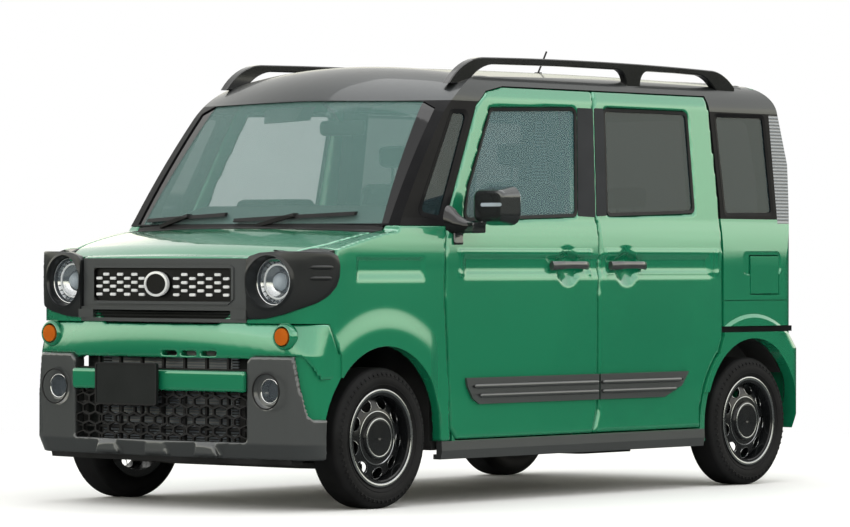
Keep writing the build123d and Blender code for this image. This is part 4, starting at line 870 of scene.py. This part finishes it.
# ------------------------------------------------------------- front dressing
def instances(name, body, material, stamp, places, turns=None):
    """Copies of a stamp mesh on points, made by Geometry Nodes and kept as a plain mesh."""
    points = raw_mesh(name + "_points", places)
    turn = points.attributes.new("turn", "FLOAT_VECTOR", "POINT")
    for k, value in enumerate(turns or [(0, 0, 0)] * len(places)):
        turn.data[k].vector = value
    host = add_object(name + "_points", points)
    stamp_object = add_object(name + "_stamp", raw_mesh(name + "_stamp", stamp.verts, stamp.faces))
    group = bpy.data.node_groups.new(name + "_nodes", "GeometryNodeTree")
    group.interface.new_socket("Geometry", in_out="INPUT", socket_type="NodeSocketGeometry")
    stamp_socket = group.interface.new_socket("Stamp", in_out="INPUT", socket_type="NodeSocketObject")
    finish_socket = group.interface.new_socket("Finish", in_out="INPUT", socket_type="NodeSocketMaterial")
    group.interface.new_socket("Geometry", in_out="OUTPUT", socket_type="NodeSocketGeometry")
    source = group.nodes.new("NodeGroupInput").outputs
    info = settle(group.nodes.new("GeometryNodeObjectInfo"), Object=source["Stamp"], As_Instance=True)
    read = settle(group.nodes.new("GeometryNodeInputNamedAttribute"), Name="turn")
    read.data_type = "FLOAT_VECTOR"
    spin = settle(group.nodes.new("FunctionNodeEulerToRotation"), Euler=read.outputs["Attribute"])
    copy = settle(group.nodes.new("GeometryNodeInstanceOnPoints"), Points=source["Geometry"],
                  Instance=info.outputs["Geometry"], Rotation=spin.outputs["Rotation"])
    real = settle(group.nodes.new("GeometryNodeRealizeInstances"), Geometry=copy.outputs["Instances"])
    paint = settle(group.nodes.new("GeometryNodeSetMaterial"), Geometry=real.outputs["Geometry"],
                   Material=source["Finish"])
    settle(group.nodes.new("NodeGroupOutput"), Geometry=paint.outputs["Geometry"])
    modifier = host.modifiers.new("copies", "NODES")
    modifier.node_group = group
    modifier[stamp_socket.identifier] = stamp_object
    modifier[finish_socket.identifier] = material
    mesh = baked(host)
    verts = [v.co.copy() for v in mesh.vertices]
    faces = [tuple(f.vertices) for f in mesh.polygons]
    for thing in (host, stamp_object):
        bpy.data.objects.remove(thing)
    bpy.data.node_groups.remove(group)
    return make_piece(name, body, material, verts, faces, 0.7)


def capsule_stamp(length, height, depth):
    """One capsule of the grille with a bevelled face."""
    outline = rounded(rectangle(length, height), height / 2 - 0.3, 4)
    small = rounded(rectangle(length - 4, height - 4), height / 2 - 2.3, 4)
    return Shape().loft(upright((outline, 0), (outline, -depth), (small, -depth - 2)))


ROWS = 6
ROW_PITCH = 15.8
COLUMN_PITCH = 82.0
GRILLE_Z = 871.5
FIRST_CAPSULE = 92.0
GRILLE_HALF = 350.0
capsules = []
for row in range(ROWS):
    z = GRILLE_Z + (row - (ROWS - 1) / 2) * ROW_PITCH
    shift = COLUMN_PITCH / 2 if row % 2 else 0.0
    for column in range(4):
        x = FIRST_CAPSULE + shift + column * COLUMN_PITCH
        if x < GRILLE_HALF:
            capsules += [mm(x, nose_y_at(x) + 6, z), mm(-x, nose_y_at(x) + 6, z)]
instances("grille_capsules", "body", capsule_silver, capsule_stamp(31, 11.5, 6), capsules)

badge = [(62 * math.cos(a), 874 + 49 * math.sin(a)) for a in circle(40)]
badge_in = [(53 * math.cos(a), 874 + 40 * math.sin(a)) for a in circle(40)]
Shape().hoop(upright((badge, -1678), (badge, -1691), (badge_in, -1692), (badge_in, -1678))).place(
    "badge_ring", capsule_silver, 1.0)


def ring(radius, thick, x, y, z):
    """Round ring facing the front."""
    profile = [(radius + thick * math.cos(a), thick * math.sin(a)) for a in circle(12)]
    return Shape().lathe(profile, (x, y, z), (0, 1, 0), 56)


for side, word in SIDES:
    x = LAMP[0] * side
    ring(90, 3.2, x, -1606, LAMP[1]).place("lamp_ring_" + word, bright_metal, 1.0)
    bowl = [(84, -1592), (80, -1588), (70, -1576), (52, -1566), (38, -1562), (38, -1558), (52, -1561),
            (72, -1571), (84, -1584)]
    Shape().lathe([(r, y + 1600) for r, y in bowl], (x, -1600, LAMP[1]), (0, 1, 0), 48).place(
        "lamp_bowl_" + word, bright_metal, 0.5)
    ring(66, 4, x, -1588, LAMP[1]).place("lamp_halo_" + word, lamp_white, 1.0)
    flutes = Shape()
    for t in circle(24):
        spoke = Vector((math.cos(t), 0, math.sin(t)))
        flutes.tube([Vector((x, -1584, LAMP[1])) + spoke * 72, Vector((x, -1590, LAMP[1])) + spoke * 84], 2.2, 6)
    flutes.place("lamp_flutes_" + word, gloss_black, 1.0)
    dome = [(0, -34), (14, -31), (25, -23), (33, -10), (36, 0), (36, 8), (0, 8)]
    Shape().lathe(dome, (x, -1566, LAMP[1]), (0, 1, 0), 40, closed=False).place(
        "lamp_projector_" + word, lamp_lens, 1.2)
    ring(38, 3, x, -1570, LAMP[1]).place("lamp_projector_ring_" + word, gloss_black, 1.0)
    ring(46, 3, FOG[0] * side, -1651, FOG[1]).place("fog_ring_" + word, bright_metal, 1.0)
    ring(68, 3, FOG[0] * side, -1676, FOG[1]).place("fog_bezel_" + word, grained_black, 1.0)
    boss = [(38, -26), (38, 6), (41, 9), (45, 8), (52, -4), (52, -26)]
    Shape().lathe([(r, -along) for r, along in boss], (INDICATOR[0] * side, -1640, INDICATOR[1]), (0, 1, 0), 48).place(
        "indicator_boss_" + word, green_paint, 0.9)

# blank plate with its holder
PLATE = (-140.0, 482.0)
plate = rounded(rectangle(330, 165, *PLATE), 10)
border = rounded(rectangle(318, 153, *PLATE), 8)
Shape().slab(*upright((plate, -1700), (plate, -1712))).place("plate_blank", plate_black)
Shape().hoop(upright((plate, -1711.8), (plate, -1714.5), (border, -1714.5), (border, -1711.8))).place(
    "plate_border", grained_black)
Shape().box(-180, -100, -1700.5, -1640, 440, 470).box(-180, -100, -1700.5, -1686, 520, 548).place(
    "plate_bracket", grained_black)

# honeycomb of the lower intake, with the finned core and a black panel behind it as painted shade in the intake
CELL_WIDTH = 70.0
CELL_HEIGHT = 50.0
MESH_HALF = 425.0
MESH_LOW = 268.0
FIN_PITCH = 11
FIN = 6


def hex_stamp():
    """One wide hexagonal cell wall, open in the middle."""
    outer = [(-CELL_WIDTH / 2, -CELL_HEIGHT / 4), (0, -CELL_HEIGHT / 2), (CELL_WIDTH / 2, -CELL_HEIGHT / 4),
             (CELL_WIDTH / 2, CELL_HEIGHT / 4), (0, CELL_HEIGHT / 2), (-CELL_WIDTH / 2, CELL_HEIGHT / 4)]
    inner = inset(outer, 4.0)
    return Shape().hoop(upright((outer, 0), (outer, -12), (inner, -12), (inner, 0)))


cells = []
for row in range(7):
    for column in range(-6, 7):
        x = column * CELL_WIDTH + (CELL_WIDTH / 2 if row % 2 else 0)
        if abs(x) < MESH_HALF:
            cells.append(mm(x, -1652, MESH_LOW + row * CELL_HEIGHT * 0.75))
instances("intake_mesh", "body", grained_black, hex_stamp(), cells)
fins = Shape()
for z in range(262, 262 + 30 * FIN_PITCH, FIN_PITCH):
    fins.box(-360, 360, -1606, -1598, z, z + FIN)
fins.place("condenser_fins", condenser, 0.5)
# black panel standing in for the shade behind the fins
Shape().box(-452, 452, -1597, -1590, 252, 588).place("intake_backing", plate_black, 0.5)

# under-bumper valance
valance = [(x, -1683 + x * x / 8000 + 22) for x in range(-640, 641, 80)]
Shape().slab(*[[mm(x, y - lip, z) for x, y in valance] + [mm(x, y + 60, z) for x, y in valance[::-1]]
               for z, lip in ((181, 0), (203, 6))]).place("front_valance", grained_black)


# --------------------------------------------------------------------- wheels
WHEEL_X = 648.0
HOLES = 9
FIRST_HOLE = 35.0       # degrees from the top
HOLE_RING = 138.0
HOLE_HALF_LENGTH = 23.2
HOLE_HALF_WIDTH = 30.2
LUGS = 60


def wheel_dressing(side, axle_y, name, body):
    """Bright ring at a wheel's lip, bright rings of painted highlight round its holes and on its cap, lines of its
    sidewall and lugs of its shoulder.
    """
    centre = (WHEEL_X * side, axle_y, AXLE_Z)
    axis = (side, 0, 0)
    lip = [(177, 69.6), (179, 71.6), (189, 71.9), (191.6, 70.6), (191.6, 69.6)]
    Shape().lathe(lip, centre, axis, 72).place("lip_ring_" + name, rim_bright, 0.8, body=body)
    sidewall = [(206, 73.0), (208, 76.0), (211, 76.2), (213, 73.0)]
    wall = Shape().lathe(sidewall, centre, axis, 72)
    wall.lathe([(238, 75.0), (240, 77.3), (243, 77.3), (245, 75.0)], centre, axis, 72)
    wall.place("sidewall_lines_" + name, rubber, 0.8, body=body)
    # bright metal rings round each hole: painted highlight on the holes' chamfered edges
    edges = Shape()
    for hole in range(HOLES):
        turn = math.radians(FIRST_HOLE + 360 / HOLES * hole)
        spoke = Vector((0, math.cos(turn), math.sin(turn)))
        along = Vector((0, -math.sin(turn), math.cos(turn)))
        rings = []
        for t in circle(24):
            radial = HOLE_RING + HOLE_HALF_LENGTH * math.cos(t)
            out = 44 - 13 * (radial - 116) / 40 if radial > 116 else 45
            middle = Vector(centre) + spoke * radial + along * HOLE_HALF_WIDTH * math.sin(t) + Vector(axis) * out
            outward = spoke * math.cos(t) + along * math.sin(t)
            rings.append([(middle + outward * 1.6 * math.cos(a) + Vector(axis) * 1.6 * math.sin(a)) * MM
                          for a in circle(6)])
        edges.loft(rings + rings[:1], caps=False)
    edges.place("hole_edges_" + name, rim_bright, 1.0, body=body)
    # bright metal rings on the cap: painted highlight on its rounded edge and outer groove
    cap = Shape().lathe([(70, 60), (74, 61.5), (78, 59.5), (78, 57), (70, 57)], centre, axis, 56)
    cap.lathe([(101, 46.6), (103, 48.6), (106, 47.8), (106, 45.5)], centre, axis, 56)
    cap.place("cap_rings_" + name, rim_bright, 0.9, body=body)
    lug = Shape().loft([[mm(o, w, r) for o, w, r in ring_points] for ring_points in (
        [(side * 45, -4.6, 270), (side * 45, 4.6, 270), (side * 77, 4.0, 236), (side * 77, -4.0, 236)],
        [(side * 47, -4.6, 275), (side * 47, 4.6, 275), (side * 78.0, 4.0, 250), (side * 78.0, -4.0, 250)])])
    turns = [(t, 0, 0) for t in circle(LUGS)]
    instances("shoulder_lugs_" + name, body, rubber, lug, [Vector(centre) * MM] * LUGS, turns)


for row, axle_y in (("front", FRONT_AXLE_Y), ("rear", REAR_AXLE_Y)):
    for side, word in SIDES:
        wheel_dressing(side, axle_y, row + "_" + word, "wheel_" + row + "_" + word)


# --------------------------------------------------------------------- cabin
def pad_rings(profile, middle, half):
    """Rings of a pad: its side profile, drawn in towards both ends."""
    rings = []
    for place, draw in ((-1.0, 34), (-0.95, 14), (-0.84, 3), (-0.5, 0), (0, 0), (0.5, 0), (0.84, 3), (0.95, 14),
                        (1.0, 34)):
        outline = rounded(inset(profile, draw), 24, 4) if draw else rounded(profile, 30, 4)
        rings.append([mm(middle + half * place, y, z) for y, z in outline])
    return rings


def inflate(piece, cap):
    """Cloth with a little pressure inside; no point moves further than the cap."""
    start = [v.co.copy() for v in piece.data.vertices]
    cloth_modifier = piece.modifiers.new("Cloth", "CLOTH")
    settings = cloth_modifier.settings
    settings.use_pressure = True
    settings.uniform_pressure_force = 4.0
    settings.quality = 4
    settings.effector_weights.gravity = 0.0
    cloth_modifier.collision_settings.use_collision = False
    scene = bpy.context.scene
    for step in range(1, 21):
        scene.frame_set(step)
    depsgraph = bpy.context.evaluated_depsgraph_get()
    shaped = piece.evaluated_get(depsgraph).data
    moved = [v.co.copy() for v in shaped.vertices]
    piece.modifiers.remove(cloth_modifier)
    for vertex, was, now in zip(piece.data.vertices, start, moved):
        step = now - was
        if step.length > cap:
            step = step.normalized() * cap
        vertex.co = was + step
    scene.frame_set(1)


def pad(name, profile, middle, half, cap=0.022, voxel=0.013):
    """Upholstered pad: a drawn-in form, remeshed, inflated and smoothed."""
    shape = Shape().loft(pad_rings(profile, middle, half))
    mesh = raw_mesh(name, shape.verts, shape.faces)
    work = bmesh.new()
    work.from_mesh(mesh)
    bmesh.ops.recalc_face_normals(work, faces=work.faces)
    work.to_mesh(mesh)
    work.free()
    piece = add_object(name, mesh)
    even_out(piece, seat_cloth, voxel)
    inflate(piece, cap)
    smooth = piece.modifiers.new("Subdivision", "SUBSURF")
    smooth.levels = 1
    smooth.render_levels = 1
    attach(piece, "body")
    return piece


SEAM_RADIUS = 2.6
DOWN = (0, 0, -1)
BACKWARDS = (0, 1, 0)


def seam(name, target, rays):
    """Piping laid on a pad: each ray finds the cover, and the cord follows the hits."""
    depsgraph = bpy.context.evaluated_depsgraph_get()
    points = []
    for origin, direction in rays:
        hit, place, normal, _ = target.ray_cast(mm(*origin), Vector(direction), depsgraph=depsgraph)
        if hit:
            points.append((place + normal * 0.0006) / MM)
    if len(points) > 2:
        Shape().tube(points, SEAM_RADIUS, 6).place(name, cabin_plastic, 1.2)


SEAT_MIDDLE = 325.0
BENCH_MIDDLE = 262.0
STEM_OFFSET = 45.0
CABIN_FLOOR = 251.0
for side, word in SIDES:
    middle = side * SEAT_MIDDLE
    cushion = pad("seat_cushion_" + word,
                  [(-410, 505), (-418, 590), (-372, 622), (36, 584), (60, 520), (40, 492)], middle, 222)
    back = pad("seat_back_" + word,
               [(68, 560), (50, 640), (118, 1200), (150, 1316), (216, 1318), (226, 1200), (178, 560)], middle, 214)
    pad("head_rest_" + word,
        [(156, 1362), (150, 1448), (176, 1456), (212, 1448), (218, 1362)], middle, 112, 0.012, 0.009)
    for offset in (-122, 122):
        seam("cushion_seam_%s_%d" % (word, offset + 200), cushion,
             [((middle + offset, y, 900), DOWN) for y in range(-380, 31, 20)])
        seam("back_seam_%s_%d" % (word, offset + 200), back,
             [((middle + offset, -200, z), BACKWARDS) for z in range(640, 1291, 25)])
    seam("cushion_cross_" + word, cushion, [((middle + x, -150, 900), DOWN) for x in range(-122, 123, 16)])
    seam("back_cross_" + word, back, [((middle + x, -200, 1120), BACKWARDS) for x in range(-122, 123, 16)])
    base = Shape().box(middle - 190, middle + 190, -350, 110, CABIN_FLOOR, 300)
    base.box(middle - 200, middle - 150, -360, 120, 300, 486).box(middle + 150, middle + 200, -360, 120, 300, 486)
    for x in (middle - STEM_OFFSET, middle + STEM_OFFSET):
        base.tube([(x, 186, 1290), (x, 188, 1380)], 6)
    base = base.place("seat_base_" + word, cabin_plastic, 0.5)
    if word == "left":
        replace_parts(base, "front_seats")
for side, word in SIDES:
    middle = side * BENCH_MIDDLE
    pad("bench_cushion_" + word,
        [(480, 506), (478, 588), (518, 622), (886, 594), (912, 540), (890, 492)], middle, 240)
    pad("bench_back_" + word,
        [(912, 580), (905, 640), (950, 1080), (968, 1160), (1030, 1166), (1036, 1080), (992, 560)], middle, 240)
    pad("bench_rest_" + word,
        [(976, 1192), (972, 1276), (1004, 1286), (1034, 1276), (1038, 1192)], middle, 106, 0.010, 0.009)
bench = Shape().box(-480, 480, 540, 950, CABIN_FLOOR, 486)
for side, word in SIDES:
    for x in (side * BENCH_MIDDLE - STEM_OFFSET, side * BENCH_MIDDLE + STEM_OFFSET):
        bench.tube([(x, 1004, 1140), (x, 1005, 1210)], 6)
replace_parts(bench.place("bench_base", cabin_plastic, 0.5), "rear_seat")

# mirror, camera unit, visors, lining
Shape().loft([[mm(x * s + 8, y, 1509 + z * s) for x, z in rounded(rectangle(236, 62), 24, 5)]
              for y, s in ((-596, 0.86), (-588, 1.0), (-572, 1.0), (-570, 0.97))]).place(
    "inner_mirror", cabin_plastic, 0.7)
pane = [(x + 8, 1509 + z) for x, z in rounded(rectangle(220, 50), 20, 5)]
Shape().slab(*upright((pane, -569.8), (pane, -568.6))).place("inner_mirror_glass", mirror_glass, 0.7)
Shape().tube([(0, -592, 1524), (0, -640, 1575), (0, -690, 1606)], 9).place("inner_mirror_stalk", cabin_plastic)
unit = [(-250, 1584), (-40, 1590), (-62, 1532), (-226, 1524)]
Shape().slab([mm(x, -760 + (1600 - z) * -0.55, z) for x, z in unit],
             [mm(x, -690 + (1600 - z) * -0.2, z + 6) for x, z in unit]).place("camera_unit", cabin_plastic)
for side, word in SIDES:
    visor = rounded([(60 * side, -640), (520 * side, -610), (520 * side, -480), (60 * side, -500)][::side], 24, 4)
    Shape().slab([mm(x, y, 1640 - 0.15 * (y + 480)) for x, y in visor],
                 [mm(x, y, 1654 - 0.15 * (y + 480)) for x, y in visor]).place(
        "sun_visor_" + word, headliner, 0.6)
lining = [(x, 1722 - x * x / 7500) for x in range(-540, 541, 90)]
lining += [(x, 1728 - x * x / 7500) for x in range(540, -541, -90)]
Shape().loft(upright(*[(lining, y) for y in (-560, -200, 400, 1000, 1380)])).place("roof_lining", headliner, 0.6)

# instrument hood, display and vents on the dashboard
outline = rounded([(-190, -40), (190, -40), (150, 46), (-150, 46)], 26, 5)
Shape().loft([[mm(-330 + x * s, y, 1172 + z * s) for x, z in outline]
              for y, s in ((-700, 0.86), (-660, 1.0), (-560, 1.0), (-545, 0.96))]).place(
    "meter_hood", cabin_plastic, 0.6)
Shape().box(-95, 95, -575, -560, 1010, 1130).place("display_frame", gloss_black)
for x in (-560, -150, 150, 560):
    vent = Shape()
    for z in range(1040, 1101, 15):
        vent.box(x - 45, x + 45, -566, -546, z, z + 4)
    vent.place("vent_%d" % (x + 600), cabin_plastic)
tilt = math.radians(28)
axis = Vector((0, math.cos(tilt), math.sin(tilt)))
hub = Shape().lathe([(0, 26), (40, 24), (60, 14), (64, -2), (64, -24), (0, -24)], (-330, -343, 1041), axis, 40,
                    closed=False)
hub.place("wheel_pad", cabin_plastic, 0.8, body="steering_wheel")


# ------------------------------------------------------- camera, light, floor
SKY_STRENGTH = 3.2
FLOOR_RADIUS = 7.0


CAMERA_ANGLES = (39.61, 0.06, 0.077)      # azimuth, elevation and roll in degrees
CAMERA_PLACE = (11.8349, -14.3418, 0.9732)
FOCAL_LENGTH = 36.0 * 4428.9 / 850.0
AWAY = (-0.6376, 0.7704, 0.0)             # level direction away from the camera
SKY = [(0.0, (0.008, 0.011, 0.012)), (0.05, (0.012, 0.016, 0.017)), (0.10, (0.55, 0.56, 0.46)),
       (0.22, (0.76, 0.73, 0.63)), (0.32, (0.50, 0.50, 0.48)), (0.7, (0.40, 0.40, 0.39)), (1.0, (0.24, 0.24, 0.24))]


def add_camera(scene):
    azimuth, elevation, roll = [math.radians(angle) for angle in CAMERA_ANGLES]
    back = Vector((math.sin(azimuth) * math.cos(elevation), -math.cos(azimuth) * math.cos(elevation),
                   math.sin(elevation)))
    right = (-back).cross(Vector((0, 0, 1))).normalized()
    up = right.cross(-back)
    right, up = (math.cos(roll) * right + math.sin(roll) * up, math.cos(roll) * up - math.sin(roll) * right)
    lens = bpy.data.cameras.new("camera")
    lens.sensor_width = 36.0
    lens.lens = FOCAL_LENGTH
    lens.clip_end = 200.0
    camera = add_object("camera", lens)
    rows = [(right[k], up[k], back[k], CAMERA_PLACE[k]) for k in range(3)]
    camera.matrix_world = Matrix((*rows, (0, 0, 0, 1)))
    scene.camera = camera


def add_sky(scene):
    """Banded studio light, dimmer ahead of the camera, which itself sees plain white."""
    world = bpy.data.worlds.new("studio")
    scene.world = world
    world.use_nodes = True
    tree = world.node_tree
    seen = add_node(tree, "LightPath").outputs["Is Camera Ray"]
    direction = add_node(tree, "TexCoord").outputs["Generated"]
    split = add_node(tree, "SeparateXYZ", Vector=direction)
    toward = add_node(tree, "VectorMath", Vector=direction)
    toward.operation = "DOT_PRODUCT"
    connect(toward.inputs[1], AWAY)
    far = ramp(tree, toward.outputs["Value"], [(0.2, (1.0, 1.0, 1.0)), (0.85, (0.72, 0.72, 0.72))])
    sky = blend(tree, 1.0, ramp(tree, split.outputs["Z"], SKY), far, "MULTIPLY")
    settle(tree.nodes["Background"], Color=blend(tree, seen, sky, (1, 1, 1, 1)),
           Strength=span(tree, seen, SKY_STRENGTH, 1.0))


def softbox(name, place, target, width, height, power):
    data = bpy.data.lights.new(name, "AREA")
    data.shape = "RECTANGLE"
    data.size = width
    data.size_y = height
    data.energy = power
    lamp = add_object(name, data)
    lamp.location = place
    lamp.rotation_euler = (Vector(target) - Vector(place)).to_track_quat("-Z", "Y").to_euler()


def add_floor():
    """Pale disc that fades out at its edge and looks dark to reflections."""
    mesh = raw_mesh("floor", [(FLOOR_RADIUS * math.cos(t), FLOOR_RADIUS * math.sin(t), 0) for t in circle(64)],
                    [tuple(range(64))])
    floor = add_object("floor", mesh)
    material, tree, shader = new_material("studio_floor")
    tone = ramp(tree, noise(tree, 0.8), [(0.3, (0.88, 0.88, 0.88)), (0.7, (0.90, 0.90, 0.90))])
    reflected = add_node(tree, "LightPath").outputs["Is Glossy Ray"]
    reach = add_node(tree, "VectorMath", Vector=object_coords(tree))
    reach.operation = "LENGTH"
    fade = add_node(tree, "MapRange", Value=reach.outputs["Value"], From_Min=FLOOR_RADIUS * 0.55,
                    From_Max=FLOOR_RADIUS * 0.98, To_Min=1.0, To_Max=0.0)
    settle(shader, Base_Color=blend(tree, reflected, tone, (0.05, 0.06, 0.06, 1)), Roughness=0.7,
           Alpha=fade.outputs["Result"])
    mesh.materials.append(material)


scene = bpy.context.scene
scene.view_settings.view_transform = "Standard"
add_camera(scene)
add_sky(scene)
softbox("top_light", (0.5, 0.0, 5.5), (0, 0, 0.8), 4.0, 7.0, 150)
softbox("side_light", (7.0, 1.5, 4.2), (0.4, 0.3, 0.8), 7.0, 2.2, 25)
softbox("front_light", (-1.5, -8.0, 3.4), (0, -1.2, 0.8), 4.5, 2.0, 20)
add_floor()
